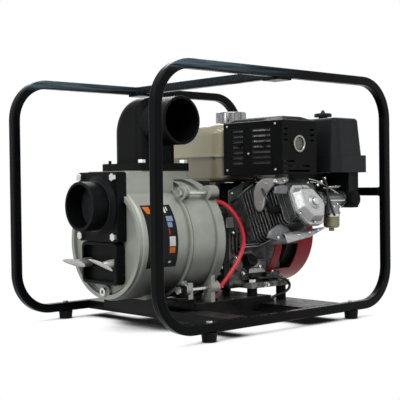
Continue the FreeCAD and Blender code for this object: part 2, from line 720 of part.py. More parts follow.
def check_valve():
    """The swing flap behind the suction port, and its hinge pin."""
    back = FLAP_X + S.flap_thick
    disc = rod("X", FLAP_X, 0, SUCTION_Z, S.flap_radius, S.flap_thick)
    weight = rod("X", back, 0, SUCTION_Z, S.flap_radius * 0.6, S.flap_weight)
    barrel = rod("Y", HINGE_X, -FLAP_EAR, FLAP_HINGE_Z, BARREL_RADIUS, FLAP_EAR * 2)
    web = span(FLAP_X, back, -FLAP_EAR, FLAP_EAR, FLAP_HINGE_Z - S.flap_radius / 2,
               FLAP_HINGE_Z)
    flap = cut(fuse(disc, weight, barrel, web),
               rod("Y", HINGE_X, -FLAP_EAR - 1, FLAP_HINGE_Z,
                   S.flap_pin_radius + S.running_fit, FLAP_EAR * 2 + 2))
    node("check_valve_flap", flap)
    reach = FLAP_EAR + S.flap_side_gap + S.flap_pin_radius * 2
    node("flap_hinge_pin", rod("Y", HINGE_X, -reach, FLAP_HINGE_Z, S.flap_pin_radius,
                               reach * 2))


def suction_plate_outline(margin=0):
    half = S.suction_plate_width / 2 - margin
    middle = SUCTION_Z + S.suction_plate_offset
    tall = S.suction_plate_height / 2 - margin
    return rounded(-half, middle - tall, half, middle + tall, S.casing_wall)


def cover_outline(margin=0):
    half = S.cleanout_width / 2 - margin
    tall = S.cleanout_height / 2 - margin
    return rounded(-half, COVER_Z - tall, half, COVER_Z + tall, S.cleanout_corner - margin / 2)


def discharge_outline():
    half = S.discharge_plate / 2
    return rounded(DISCHARGE_X - half, -half, DISCHARGE_X + half, half, S.casing_wall)


def gaskets():
    casing = ring("X", CASING_END, 0, AXIS, S.split_flange_radius,
                  S.casing_radius - S.casing_wall, S.gasket)
    holes = [rod("X", PLATE_FACE - 1, y, z, S.flange_bolt_radius + S.bolt_slack, S.gasket + 2)
             for y, z in SUCTION_BOLTS]
    suction = cut(extrude("suction_gasket", "YZ", [suction_plate_outline()], S.gasket,
                          offset=PLATE_FACE),
                  rod("X", PLATE_FACE - 1, 0, SUCTION_Z, S.port_bore, S.gasket + 2), *holes)
    holes = [rod("Z", x, y, TOWER_TOP - 1, S.flange_bolt_radius + S.bolt_slack, S.gasket + 2)
             for x, y in DISCHARGE_BOLTS]
    discharge = cut(extrude("discharge_gasket", "XY", [discharge_outline()], S.gasket,
                            offset=TOWER_TOP),
                    rod("Z", DISCHARGE_X, 0, TOWER_TOP - 1, S.port_bore, S.gasket + 2), *holes)
    holes = [rod("X", PLATE_FACE - 1, side * S.stud_across, COVER_Z,
                 S.stud_radius + S.bolt_slack, S.gasket + 2) for side in SIDES]
    cover = cut(extrude("cover_gasket", "YZ", [cover_outline()], S.gasket, offset=PLATE_FACE),
                span(PLATE_FACE - 1, FRONT + 1, -CLEAN_OPEN_Y, CLEAN_OPEN_Y,
                     COVER_Z - CLEAN_OPEN_Z, COVER_Z + CLEAN_OPEN_Z), *holes)
    node("pump_gaskets", group([casing, suction, discharge, cover]))


def pump_adapter():
    """The end bell that closes the tank, holds the shaft seal and bolts to the engine."""
    plate = S.casing_wall * 1.4
    pieces = [rod("X", SPLIT, 0, AXIS, S.split_flange_radius, S.split_flange_thick),
              rod("X", SPLIT, 0, AXIS, S.adapter_radius, S.adapter_depth + 1),
              soften(rod("X", FLANGE_FRONT, 0, AXIS, S.rear_flange_radius,
                         S.rear_flange_thick), S.gasket * 2, level("X", FLANGE_BACK)),
              rod("X", FLANGE_BACK - 1, 0, AXIS, S.neck_radius, S.neck_length + 1)]
    pieces += lug_set(SPLIT, S.split_flange_thick)
    pieces += lug_set(FLANGE_FRONT, S.rear_flange_thick)
    foot = S.lug_radius
    for side in SIDES:
        y0 = side * S.lug_across - foot * 0.8
        pieces.append(span(SPLIT, SPLIT + S.split_flange_thick * 2.4, y0, y0 + foot * 1.6,
                           SADDLE_TOP, AXIS - S.lug_lower + foot))
        pieces.append(span(FLANGE_FRONT, FLANGE_FRONT + foot * 0.7, y0, y0 + foot * 1.6, PLATE_TOP,
                           AXIS - S.lug_lower + foot * 2))
    hollow = S.adapter_radius - S.casing_wall
    cuts = [rod("X", SPLIT - 1, 0, AXIS, S.seal_radius, plate + 2),
            rod("X", SPLIT + plate, 0, AXIS, hollow, FLANGE_BACK - plate - SPLIT - plate),
            rod("X", FLANGE_BACK - plate - 1, 0, AXIS, S.neck_radius - S.casing_wall,
                S.neck_length + plate + 2)]
    cuts += lug_holes(SPLIT - 1, S.adapter_depth + S.rear_flange_thick + 2)
    window = S.neck_length * 0.55
    cuts.append(span(FLANGE_BACK + window / 3, FLANGE_BACK + window / 3 + window,
                     -S.neck_radius - 1, S.neck_radius + 1, AXIS - window, AXIS + window))
    head_room = S.small_bolt_radius * HEAD_RATIO + S.skirt_gap
    cuts += [rod("X", ENGINE_X - S.small_bolt_radius - S.skirt_gap, y, z, head_room,
                 S.small_bolt_radius + S.skirt_gap + 1) for y, z in cover_bolt_places()]
    x, y, z = CABLE_ROUTE[0]
    gland = rod("X", FLANGE_BACK - 1, y, z, S.cable_radius + S.gland_wall, x - FLANGE_BACK + 1)
    node("pump_adapter", cut(fuse(*pieces, gland), *cuts))


def casing_bolts():
    """Long bolts from the casing lugs through to the rear flange."""
    bolts = []
    for y, rise in LUGS:
        lower = rise.value < 0
        start = LUG_FRONT - S.bracket_thick if lower else LUG_FRONT
        shank = FLANGE_BACK - start - S.bolt_depth / 2
        bolts.append(bolt("X", (start, y, AXIS + rise), S.casing_bolt_radius,
                          S.casing_bolt_head, shank))
    node("casing_bolts", group(bolts))


def suction_flange():
    """The square plate with its four-inch tube and stepped collar."""
    end = PLATE_X - S.suction_reach
    plate = extrude("suction_plate", "YZ", [suction_plate_outline()], S.suction_plate_thick,
                    offset=PLATE_X)
    tube = soften(rod("X", end, 0, SUCTION_Z, S.port_radius, S.suction_reach + 1), S.gasket,
                  level("X", end))
    collar = rod("X", PLATE_X - S.collar_length, 0, SUCTION_Z, S.collar_radius,
                 S.collar_length + 1)
    web = cone("X", PLATE_X - S.collar_length, 0, SUCTION_Z, S.collar_radius,
               S.collar_radius + S.collar_length, S.collar_length)
    cuts = [rod("X", end - 1, 0, SUCTION_Z, S.port_bore,
                S.suction_reach + S.suction_plate_thick + 2)]
    cuts += [rod("X", PLATE_X - 1, y, z, S.flange_bolt_radius + S.bolt_slack,
                 S.suction_plate_thick + 2) for y, z in SUCTION_BOLTS]
    node("suction_flange", cut(fuse(plate, tube, collar, web), *cuts))


def flange_bolts():
    bolts = [bolt("X", (PLATE_X, y, z), S.flange_bolt_radius, S.flange_bolt_head,
                  S.suction_plate_thick + S.gasket + S.bolt_depth) for y, z in SUCTION_BOLTS]
    bolts += [bolt("Z", (x, y, ELBOW_START), S.flange_bolt_radius, S.flange_bolt_head,
                   S.discharge_plate_thick + S.gasket + S.bolt_depth, down=True)
              for x, y in DISCHARGE_BOLTS]
    node("flange_bolts", group(bolts))


def discharge_elbow():
    """A squarish elbow that turns the flow from straight up to the near side."""
    half = S.elbow_width / 2
    turn_start = ELBOW_TOP - S.elbow_turn
    profile = [(-half, ELBOW_START - 1), (half, ELBOW_START - 1), (half, turn_start),
               Arc(S.elbow_turn), (half - S.elbow_turn, ELBOW_TOP), (-half, ELBOW_TOP)]
    body = move(extrude("elbow_body", "YZ", [profile], S.elbow_width, middle=True), DISCHARGE_X)

    def outside(edge):
        """The rounded ridges: up the back wall, over the turn and along the top."""
        box = edge.BoundBox
        on_side = abs(box.XMax - box.XMin) < 0.01
        at_front = abs(box.YMax + half.value) < 0.01
        at_base = abs(box.ZMax - (ELBOW_START - 1).value) < 0.01
        return on_side and not at_front and not at_base

    body = soften(body, S.elbow_corner, outside)
    corner = S.elbow_corner
    back = half + 1
    plan = [(-half + corner, -half), (half - corner, -half), Arc(corner),
            (half, -half + corner), (half, back), (-half, back), (-half, -half + corner),
            Arc(corner)]
    plan = move(extrude("elbow_plan", "XY", [plan], ELBOW_TOP - ELBOW_START + 2,
                        offset=ELBOW_START - 1), DISCHARGE_X)
    body = common(body, plan)
    plate = extrude("discharge_plate", "XY", [discharge_outline()], S.discharge_plate_thick,
                    offset=ELBOW_BASE)
    port = soften(rod("Y", DISCHARGE_X, -S.discharge_reach, OUTLET_Z, S.port_radius,
                      S.discharge_reach - half), S.gasket, level("Y", -S.discharge_reach))
    root = rod("Y", DISCHARGE_X, -half - 1, OUTLET_Z, half - S.elbow_shoulder,
               2 * half - S.elbow_turn + 1)
    heel = S.elbow_heel
    cuts = [rod("Z", DISCHARGE_X, 0, ELBOW_BASE - 1, S.port_bore,
                OUTLET_Z - heel - ELBOW_BASE + 1),
            ball(DISCHARGE_X, -heel, OUTLET_Z - heel, S.port_bore),
            rod("Y", DISCHARGE_X, -S.discharge_reach - 1, OUTLET_Z, S.port_bore,
                S.discharge_reach + 1 - heel)]
    cuts += [rod("Z", x, y, ELBOW_BASE - 1, S.flange_bolt_radius + S.bolt_slack,
                 S.discharge_plate_thick + 2) for x, y in DISCHARGE_BOLTS]
    node("discharge_elbow", cut(fuse(body, plate, port, root), *cuts))


def cleanout_cover():
    """The rimmed cover under the suction port, on two studs."""
    start = PLATE_FACE - S.cleanout_thick
    block = extrude("cover_block", "YZ", [cover_outline()], S.cleanout_thick, offset=start)
    block = soften(block, S.gasket * 2, level("X", start))
    recess = extrude("cover_recess", "YZ", [cover_outline(S.cleanout_rim)],
                     S.cleanout_recess + 1, offset=start - 1)
    holes = [rod("X", start, side * S.stud_across, COVER_Z, S.stud_radius + S.bolt_slack,
                 S.cleanout_thick + 1) for side in SIDES]
    node("cleanout_cover", cut(block, recess, *holes))
    studs = [rod("X", KNOB_SEAT - S.stud_length + S.cleanout_thick, side * S.stud_across,
                 COVER_Z, S.stud_radius, FRONT + S.casing_wall - KNOB_SEAT + S.stud_length
                 - S.cleanout_thick) for side in SIDES]
    node("cleanout_studs", group(studs))


KNOB_SEAT = PLATE_FACE - S.cleanout_thick + S.cleanout_recess
KNOB_GAP = S.skirt_gap


def wing_knob(name, side, tilt):
    """A cast wing nut: a hub with two swept wings."""
    start = KNOB_SEAT - KNOB_GAP
    hub_end = S.wing_hub_length
    half = S.wing_span / 2
    tip = hub_end + S.wing_height
    blade = [(-S.wing_hub_radius * 0.8, -hub_end / 2), (S.wing_hub_radius * 0.8, -hub_end / 2),
             (S.wing_hub_radius, -hub_end), (half, -tip + S.wing_thick),
             Arc(S.wing_thick * 0.7, left=False), (half - S.wing_thick * 0.7, -tip),
             (0, -hub_end - S.wing_height * 0.55), (-half + S.wing_thick * 0.7, -tip),
             Arc(S.wing_thick * 0.7, left=False), (-half, -tip + S.wing_thick),
             (-S.wing_hub_radius, -hub_end)]
    blade = extrude("wing_blade", "XY", [blade], S.wing_thick, middle=True)
    blade = soften(blade, S.wing_thick * 0.3, lambda edge: level("Z", S.wing_thick / 2)(edge)
                   or level("Z", -S.wing_thick / 2)(edge))
    hub = cone("Y", 0, -hub_end, 0, S.wing_hub_radius * 0.85, S.wing_hub_radius, hub_end)
    bore = rod("Y", 0, -S.stud_length + S.cleanout_thick - 1, 0, S.stud_radius + S.running_fit,
               S.stud_length)
    knob = cut(fuse(blade, hub), bore)
    turned = FreeCAD.Rotation(FreeCAD.Vector(0, 0, 1), -90)
    tilted_up = FreeCAD.Rotation(FreeCAD.Vector(1, 0, 0), tilt.value)
    knob.Placement = FreeCAD.Placement(FreeCAD.Vector(), tilted_up.multiply(turned))
    node(name, move(knob, start, side * S.stud_across, COVER_Z))


def drain_plug():
    face = FRONT - S.front_ring_proud - KNOB_GAP
    z = AXIS - S.drain_drop
    head = rod("X", face - S.drain_length, 0, z, S.drain_radius, S.drain_length)
    stem = rod("X", face - 1, 0, z, S.drain_radius * DRAIN_THREAD,
               S.front_ring_proud + S.casing_wall)
    socket = hexagon("X", face - S.drain_length - 1, 0, z, S.drain_radius / 2,
                     S.drain_length * 0.8)
    node("drain_plug", cut(fuse(head, stem), socket))


def volute():
    """The spiral shell round the impeller, bolted inside the tank to the end bell."""
    inner = S.impeller_radius + S.volute_gap
    outer = inner + S.volute_wall
    depth = S.impeller_thick + 2 * S.volute_gap
    start = SPLIT - depth - S.volute_wall
    shell = soften(rod("X", start, 0, AXIS, outer, depth + S.volute_wall), S.volute_wall,
                   level("X", start))
    throat = span(start + S.volute_wall, SPLIT, S.hub_radius, outer, AXIS,
                  AXIS + outer + S.volute_wall)
    eye = cone("X", start - S.volute_wall, 0, AXIS, S.eye_radius + S.volute_wall,
               S.eye_radius + 2 * S.volute_wall, S.volute_wall + 1)
    inside = [rod("X", start + S.volute_wall, 0, AXIS, inner, depth + 1),
              rod("X", start - S.volute_wall - 1, 0, AXIS, S.eye_radius,
                  2 * S.volute_wall + 2),
              span(start + 2 * S.volute_wall, SPLIT + 1, S.hub_radius + S.volute_wall,
                   inner, AXIS, AXIS + outer + 2 * S.volute_wall)]
    node("volute", cut(fuse(shell, throat, eye), *inside))


def impeller():
    """A semi-open impeller: disc, hub and five swept vanes patterned round the shaft."""
    back = SPLIT - S.volute_gap
    front = back - S.impeller_thick
    body = new_body("impeller_body")
    profile = [(0, SHAFT_FIT), (S.impeller_thick, SHAFT_FIT),
               (S.impeller_thick, S.impeller_radius),
               (S.impeller_thick - S.impeller_disc, S.impeller_radius),
               (S.impeller_thick - S.impeller_disc, S.hub_radius), (0, S.hub_radius)]
    sketch = draw(body, "XZ", [profile])
    disc = body.newObject("PartDesign::Revolution", "Revolution")
    disc.Profile = sketch
    disc.ReferenceAxis = (plane_of(body, "X_Axis"), [""])
    disc.Angle = 360
    root = S.hub_radius * 0.9
    tip = S.impeller_radius * 0.97
    sweep = S.impeller_radius * 0.6
    vane = [(-sweep, tip * 0.75), Arc(sweep * 1.5, left=False), (0, root),
            (S.vane_thick, root), Arc(sweep * 1.5), (-sweep + S.vane_thick, tip * 0.78)]
    pad_feature = pad(body, draw(body, "YZ", [vane], S.gasket),
                      S.impeller_thick - S.impeller_disc)
    pattern = body.newObject("PartDesign::PolarPattern", "Vanes")
    pattern.Originals = [pad_feature]
    pattern.Axis = (plane_of(body, "X_Axis"), [""])
    pattern.Angle = 360
    pattern.Occurrences = 5
    body.Tip = pattern
    node("impeller", move(body, front, 0, AXIS))


SHAFT_FIT = S.shaft_radius + S.running_fit


def shaft_seal():
    plate = S.casing_wall * 1.4
    node("shaft_seal", ring("X", SPLIT, 0, AXIS, S.seal_radius, SHAFT_HOLE,
                            plate + S.seal_length / 2))


# ---------------------------------------------------------------- engine

CASE_START = ENGINE_X + S.side_cover_thick
CASE_END = CASE_START + S.case_length
CASE_TOP = CASE_BASE + S.case_height
HEAD_START = S.deck + S.barrel_length
ROCKER_START = HEAD_START + S.head_length
HEAD_FAR_X = S.cylinder_middle + S.head_block_far
FAN_END = CASE_END + S.fan_depth
STARTER_END = FAN_END + S.starter_depth
FLYWHEEL_X = CASE_END + S.flywheel_gap
INTAKE_Z = AXIS + S.intake_rise
GUARD_BOTTOM = AXIS + S.guard_rise
GUARD_TOP = GUARD_BOTTOM + S.guard_wall
GUARD_END = S.guard_start + S.guard_length
GUARD_FAR = S.guard_width - S.guard_near
TANK_BOTTOM = AXIS + S.tank_rise
TANK_TOP = TANK_BOTTOM + S.tank_height
TRAY_TOP = AXIS + S.cleaner_rise
TRAY_BOTTOM = TRAY_TOP - S.tray_height
CLEANER_TOP = TRAY_TOP + S.cleaner_height
PLUG_T = HEAD_START + S.plug_rise
COVER_EDGE = S.case_wall * 1.3
DRAIN_X = S.foot_pad_start + S.foot_pad_length / 3
DRAIN_Z = CASE_BASE + S.foot_pad_height / 2
ROCKER_SEAT = ROCKER_START + S.rocker_depth + S.rocker_wall


def tilt_part(name):
    """The sine or cosine of the cylinder's tilt."""
    angle = math.radians(SIZES["cylinder_tilt"])
    value = {"sin": math.sin, "cos": math.cos}[name](angle)
    return Size(value, "%s(Sizes.cylinder_tilt)" % name)


def on_tilt(along, across=0):
    """(y, z) of a point given along and across the tilted cylinder axis."""
    along, across = size(along), size(across)
    return (across * tilt_part("sin") - along * tilt_part("cos"),
            AXIS + along * tilt_part("sin") + across * tilt_part("cos"))


def upright(obj, x=0, y=0, z=0):
    """Holds a piece drawn along +Z, so that tilted() can place it as it stands."""
    holder = new("Part::Compound", "Held")
    holder.Links = [move(obj, x, y, z)]
    return holder


PIPE_Y, PIPE_START = on_tilt(HEAD_START + S.head_length / 2, S.head_block_half)
TANK_POSTS = [(CASE_START + x, y) for x in (S.post_first, S.post_first + S.post_spacing)
              for y in (S.post_near, S.post_far)]
FILLER = (S.filler_along, -S.case_near + S.case_wall / 2, AXIS - S.filler_drop)


def case_outline(margin=0):
    return rounded(-S.case_near + margin, CASE_BASE + margin, S.case_far - margin,
                   CASE_TOP - margin, S.case_corner)


def crankcase():
    """The cast case with the tilted cylinder seat, foot pads, tank posts and filler."""
    wall = S.case_wall
    pieces = [extrude("case_block", "YZ", [case_outline()], S.case_length, offset=CASE_START)]
    seat = bind(new("Part::Box", "Box"), Length=S.head_width, Width=S.head_height,
                Height=S.deck - S.seat_start)
    pieces.append(tilted(upright(seat, -S.head_width / 2, S.fin_offset - S.head_height / 2,
                                 S.seat_start)))
    for y0 in (-S.foot_pad_reach, S.foot_pad_reach - S.foot_pad_width):
        pieces.append(span(S.foot_pad_start, S.foot_pad_start + S.foot_pad_length, y0,
                           y0 + S.foot_pad_width, CASE_BASE, CASE_BASE + S.foot_pad_height))
    for x, y in TANK_POSTS:
        pieces.append(rod("Z", x, y, CASE_TOP - wall, S.post_radius,
                          TANK_BOTTOM - CASE_TOP + wall))
    pieces.append(rod("X", CASE_END - wall, 0, AXIS, S.bearing_radius + wall, S.bearing_width))
    filler = bind(new("Part::Cylinder", "Rod"), Radius=S.filler_radius, Height=S.filler_length)
    pieces.append(turn(filler, "X", S.filler_turn, *FILLER))
    x, y, z = HOSE_ROUTE[0]
    pieces.append(rod("Y", x, y, z, S.hose_radius + S.gland_wall, wall / 2 - S.case_near - y))
    cuts = [extrude("case_room", "YZ", [case_outline(wall)], S.case_length,
                    offset=CASE_START - wall),
            rod("X", CASE_END - wall - 1, 0, AXIS, S.bearing_radius, S.bearing_width + 2),
            tilted(upright(rod("Z", 0, 0, 0, S.liner_radius, S.deck + 1)))]
    cuts += [rod("Z", x, y, CASE_BASE - 1, S.mount_bolt_radius + S.bolt_slack,
                 S.foot_pad_height + 2) for x, y in MOUNTS]
    cuts.append(rod("Y", DRAIN_X, -S.foot_pad_reach - 1, DRAIN_Z, S.small_bolt_radius,
                    S.foot_pad_height + 1))
    bore = bind(new("Part::Cylinder", "Rod"), Radius=FILLER_BORE,
                Height=S.filler_length + 2 * wall)
    cuts.append(turn(upright(bore, 0, 0, -wall), "X", S.filler_turn, *FILLER))
    node("crankcase", cut(fuse(*pieces), *cuts))


FILLER_BORE = S.filler_radius - S.oil_cap_length / 3


def drain_bolt():
    return bolt("Y", (DRAIN_X, -S.foot_pad_reach, DRAIN_Z), S.small_bolt_radius,
                S.small_bolt_radius, S.foot_pad_height)


def cover_bolt_places():
    return [(y, CASE_BASE + S.case_height * share) for share in (0.05, 0.28, 0.95)
            for y in (-S.case_near + COVER_EDGE, S.case_far - COVER_EDGE)]


def cover_bolts():
    return [bolt("X", (ENGINE_X, y, z), S.small_bolt_radius, S.small_bolt_radius,
                 S.side_cover_thick) for y, z in cover_bolt_places()]


def crankcase_cover():
    """The pump-side cover of the case."""
    plate = extrude("cover_plate", "YZ", [case_outline()], S.side_cover_thick, offset=ENGINE_X)
    plate = soften(plate, S.gasket * 2, level("X", ENGINE_X))
    holes = [rod("X", ENGINE_X - 1, 0, AXIS, S.bearing_radius, S.side_cover_thick + 2)]
    holes += [rod("X", ENGINE_X - 1, y, z, S.small_bolt_radius, S.side_cover_thick + 2)
              for y, z in cover_bolt_places()]
    node("crankcase_cover", cut(plate, *holes))


def crankshaft():
    """The crank from the impeller nut to the flywheel nut; its pin is furthest from the head."""
    start = SPLIT - S.volute_gap - S.impeller_thick
    nut = S.bolt_depth
    half = S.pin_length / 2
    left_end = S.cylinder_middle - half - S.web_thick
    right_start = S.cylinder_middle + half + S.web_thick
    wheel_end = FLYWHEEL_X + S.flywheel_thick
    pieces = [rod("X", start, 0, 0, S.shaft_radius, left_end - start + 1),
              hexagon("X", start - nut, 0, 0, S.hub_radius * 0.8, nut),
              rod("X", right_start - 1, 0, 0, S.shaft_radius, wheel_end - right_start + 1),
              hexagon("X", wheel_end, 0, 0, S.hub_radius * 0.8, nut),
              rod("X", left_end, 0, S.crank_throw, S.pin_radius, right_start - left_end)]
    cheek = S.pin_radius * 1.5
    edge = S.web_radius + 1
    for x in (left_end, right_start - S.web_thick):
        sides = [span(x - 1, x + S.web_thick + 1, y0, y1, S.shaft_radius, edge)
                 for y0, y1 in ((-edge, -cheek), (cheek, edge))]
        pieces.append(cut(rod("X", x, 0, 0, S.web_radius, S.web_thick), *sides))
    crank = turn(group([fuse(*pieces)]), "X", -S.cylinder_tilt - 90, 0, 0, AXIS)
    node("crankshaft", crank)
    bearings = [ring("X", x, 0, AXIS, S.bearing_radius, SHAFT_HOLE, S.bearing_width)
                for x in (ENGINE_X + 1, CASE_END - S.case_wall)]
    node("crank_bearings", group(bearings))


def fin_stack(name, outline, start, length, count):
    """Equal cooling fins, drawn along +Z."""
    body = new_body(name)
    fin = pad(body, draw(body, "XY", [outline], start), S.fin_thick)
    pattern = body.newObject("PartDesign::LinearPattern", "Fins")
    pattern.Originals = [fin]
    pattern.Direction = (plane_of(body, "Z_Axis"), [""])
    pattern.setExpression("Length", (size(length) - S.fin_thick).formula)
    pattern.Occurrences = int(size(count).value)
    body.Tip = pattern
    return body


def fin_outline(width, height):
    return rounded(-width / 2, S.fin_offset - height / 2, width / 2,
                   S.fin_offset + height / 2, S.case_corner)


def cylinder_barrel():
    """The finned barrel and the liner that reaches down into the case."""
    core = rod("Z", 0, 0, S.deck, S.liner_radius + S.case_wall, S.barrel_length)
    skirt = rod("Z", 0, 0, S.deck - S.bore_radius, S.liner_radius - S.running_fit,
                S.bore_radius + 1)
    fins = fin_stack("barrel_fins", fin_outline(S.fin_width, S.fin_height), S.deck,
                     S.barrel_length, S.barrel_fins)
    bore = rod("Z", 0, 0, S.deck - S.bore_radius - 1, S.bore_radius,
               S.bore_radius + S.barrel_length + 2)
    node("cylinder_barrel", tilted(cut(fuse(core, skirt, fins), bore)))


def cylinder_head():
    """The finned head with its ports; the rim is the seat of the rocker cover."""
    half = S.head_block_half
    block = span(-S.head_block_near, S.head_block_far, -half, half, HEAD_START, ROCKER_START)
    block = soften(block, S.case_wall, along("Z"))
    fins = fin_stack("head_fins", fin_outline(S.head_width, S.head_height), HEAD_START,
                     S.head_length * 0.7, S.head_fins)
    rim = extrude("head_rim", "XY", [rocker_outline(0)], S.rocker_flange,
                  offset=ROCKER_START - S.rocker_flange)
    rim = soften(rim, S.rocker_corner / 2, along("Z"))
    chamber = cone("Z", 0, 0, HEAD_START - 1, S.bore_radius - S.case_wall / 2,
                   S.bore_radius / 2, S.rocker_flange * 2)
    face = -S.head_block_near
    edge = -S.head_width / 2 - 1
    plug = [rod("X", face - 1, S.plug_up, PLUG_T, S.plug_radius, S.plug_length / 2),
            rod("X", edge, S.plug_up, PLUG_T, S.plug_radius * 2.4, face - edge)]
    head = tilted(cut(fuse(block, fins, rim), chamber, *plug))
    x = HEAD_FAR_X - 1
    boss = rod("X", x, -S.intake_near, INTAKE_Z, S.carb_radius, S.carb_start - x)
    ports = [rod("Z", S.pipe_along, PIPE_Y, PIPE_START, S.pipe_radius, S.head_height),
             rod("Z", S.pipe_along, PIPE_Y, PIPE_START - S.head_block_half,
                 S.pipe_radius - S.muffler_wall, S.head_block_half + 1),
             rod("X", x - S.head_block_far / 2, -S.intake_near, INTAKE_Z, S.throat_radius,
                 S.carb_start)]
    node("cylinder_head", cut(fuse(head, boss), *ports))


def piston():
    """The piston and its pin, at the bottom of the stroke."""
    crown = HEAD_START - S.crown_gap - 2 * S.crank_throw
    skirt = crown - S.piston_height
    body = cut(rod("Z", 0, 0, skirt, S.bore_radius - S.piston_slack, S.piston_height),
               rod("Z", 0, 0, skirt - 1, S.bore_radius - S.case_wall,
                   S.piston_height - S.case_wall + 1))
    pin = rod("X", -S.bore_radius + S.case_wall / 2, 0, crown - S.piston_height * 0.6,
              S.shaft_radius * 0.8, S.bore_radius * 2 - S.case_wall)
    node("piston", tilted(fuse(body, pin)))


ROCKER_SHAPE = [(-1, -0.30), (-0.36, -1), (0.62, -1), (1, -0.28), (1, 0.18), (0.34, 1),
                (-0.72, 1), (-1, 0.72)]


def rocker_outline(margin):
    """The cover's eight-sided outline, drawn in from its edge by a share of its size."""
    half = S.rocker_width / 2 * (1 - margin)
    tall = S.rocker_height / 2 * (1 - margin)
    return [(S.rocker_shift + half * u, tall * v - S.rocker_drop) for u, v in ROCKER_SHAPE]


def slope(inset, height):
    """The draft angle that draws a wall in by inset over its height."""
    inset, height = size(inset), size(height)
    angle = math.degrees(math.atan2(inset.value, height.value))
    return Size(-angle, "(0 deg - atan(%s / %s))" % (inset.formula, height.formula))


def tapered(name, outline, low, height, draft):
    """A body that stands on an outline and draws in as it rises along +Z."""
    body = new_body(name)
    feature = pad(body, draw(body, "XY", [outline], low), height)
    feature.setExpression("TaperAngle", draft.formula)
    return body


def valve_cover():
    """The pressed rocker cover: a rounded many-sided dome with a boss for one bolt."""
    top = ROCKER_START + S.rocker_depth
    flange = extrude("rocker_edge", "XY", [rocker_outline(0)], S.rocker_flange,
                     offset=ROCKER_START)
    flange = soften(flange, S.rocker_corner / 2, along("Z"))
    draft = slope(S.rocker_taper, S.rocker_depth)
    dome = tapered("rocker_dome", rocker_outline(0.08), ROCKER_START, S.rocker_depth, draft)
    dome = soften(dome, S.rocker_corner / 4, lambda edge: not level("Z", ROCKER_START)(edge))
    inside = tapered("rocker_room", rocker_outline(0.16), ROCKER_START - 1,
                     S.rocker_depth - S.rocker_wall + 1, draft)
    boss = cone("Z", S.rocker_shift, -S.rocker_drop, top - S.rocker_wall, S.rocker_bolt * 2,
                S.rocker_bolt * 1.4, 2 * S.rocker_wall)
    hole = rod("Z", S.rocker_shift, -S.rocker_drop, ROCKER_START, S.small_bolt_radius,
               S.rocker_depth * 2)
    node("valve_cover", tilted(cut(fuse(flange, dome, boss), inside, hole)))


def rocker_cover_bolt():
    stem = rod("Z", S.rocker_shift, -S.rocker_drop, ROCKER_START, S.small_bolt_radius,
               ROCKER_SEAT - ROCKER_START)
    head = rod("Z", S.rocker_shift, -S.rocker_drop, ROCKER_SEAT, S.rocker_bolt,
               S.rocker_bolt * 0.7)
    head = soften(head, S.rocker_bolt * 0.3, level("Z", ROCKER_SEAT + S.rocker_bolt * 0.7))
    return tilted(fuse(stem, head))


def spark_plug():
    """The plug in the pump side of the head, and the rubber boot over it."""
    face = -S.head_block_near
    outside = S.plug_length * 0.55
    y = S.plug_up
    plug = fuse(rod("X", face - outside, y, PLUG_T, S.plug_radius,
                    outside + S.plug_length / 3),
                hexagon("X", face - S.plug_length * 0.2, y, PLUG_T, S.plug_radius * 2,
                        S.plug_length * 0.2))
    node("spark_plug", tilted(plug))
    boot_start = face - S.plug_length * 0.8
    radius = S.plug_radius * 1.8
    boot = fuse(rod("X", boot_start, y, PLUG_T, radius, S.plug_length * 0.58),
                rod("Y", boot_start + radius, y, PLUG_T, S.plug_radius * 1.4,
                    S.plug_length * 0.5))
    boot = soften(boot, S.plug_radius * 0.4, level("X", boot_start))
    hole = rod("X", face - outside, y, PLUG_T, S.plug_radius, outside)
    node("plug_boot", tilted(cut(boot, hole)))


SIDE_GUIDE_SHAPE = [(0, 0.21), (0.27, 0.56), (0.51, 0.64), (0.83, 1), (1, 0.69), (0.78, 0.24),
                    (0.42, 0)]


def cylinder_shrouds():
    """Air guides: a lipped plate under the cylinder, and a plate beside the spark plug."""
    fin_edge = S.fin_offset - S.fin_height / 2
    low = -S.rocker_height / 2 - S.rocker_drop - S.skirt_gap
    left = -S.fin_width / 2 + S.case_wall
    right = left + S.guide_length
    start = S.deck + S.foot_taper
    end_left, end_right = S.deck + S.guide_left, S.deck + S.guide_right
    plate = extrude("lower_guide", "XZ",
                    [[(left, start), (right, start), (right, end_right), (left, end_left)]],
                    S.sheet)
    edge = [(left, end_left - S.sheet), (right, end_right - S.sheet), (right, end_right),
            (left, end_left)]
    fall = [(left, 0), (right, 0), (right, -S.guide_lip * 0.3),
            (left + S.guide_length * 0.6, -S.guide_lip * 0.85), (left, -S.guide_lip)]
    lip = common(extrude("lip_strip", "XZ", [edge], S.guide_lip),
                 extrude("lip_fall", "XY", [fall], S.guide_right, offset=S.deck))
    studs = [rod("Y", x, -1, S.deck + S.case_corner, S.small_bolt_radius, fin_edge - low + 1)
             for x in (left + S.case_corner, left + S.guide_length * 0.6)]
    lower = upright(fuse(plate, lip, *studs), 0, low, 0)
    side = [(S.side_guide_low + S.side_guide_up * up,
             HEAD_START + S.side_guide_base + S.side_guide_along * reach)
            for up, reach in SIDE_GUIDE_SHAPE]
    side = extrude("side_guide", "YZ", [side], S.guide_thick,
                   offset=-S.fin_width / 2 - S.guide_thick)
    node("cylinder_shrouds", tilted(group([lower, side])))


# ---------------------------------------------------------------- exhaust

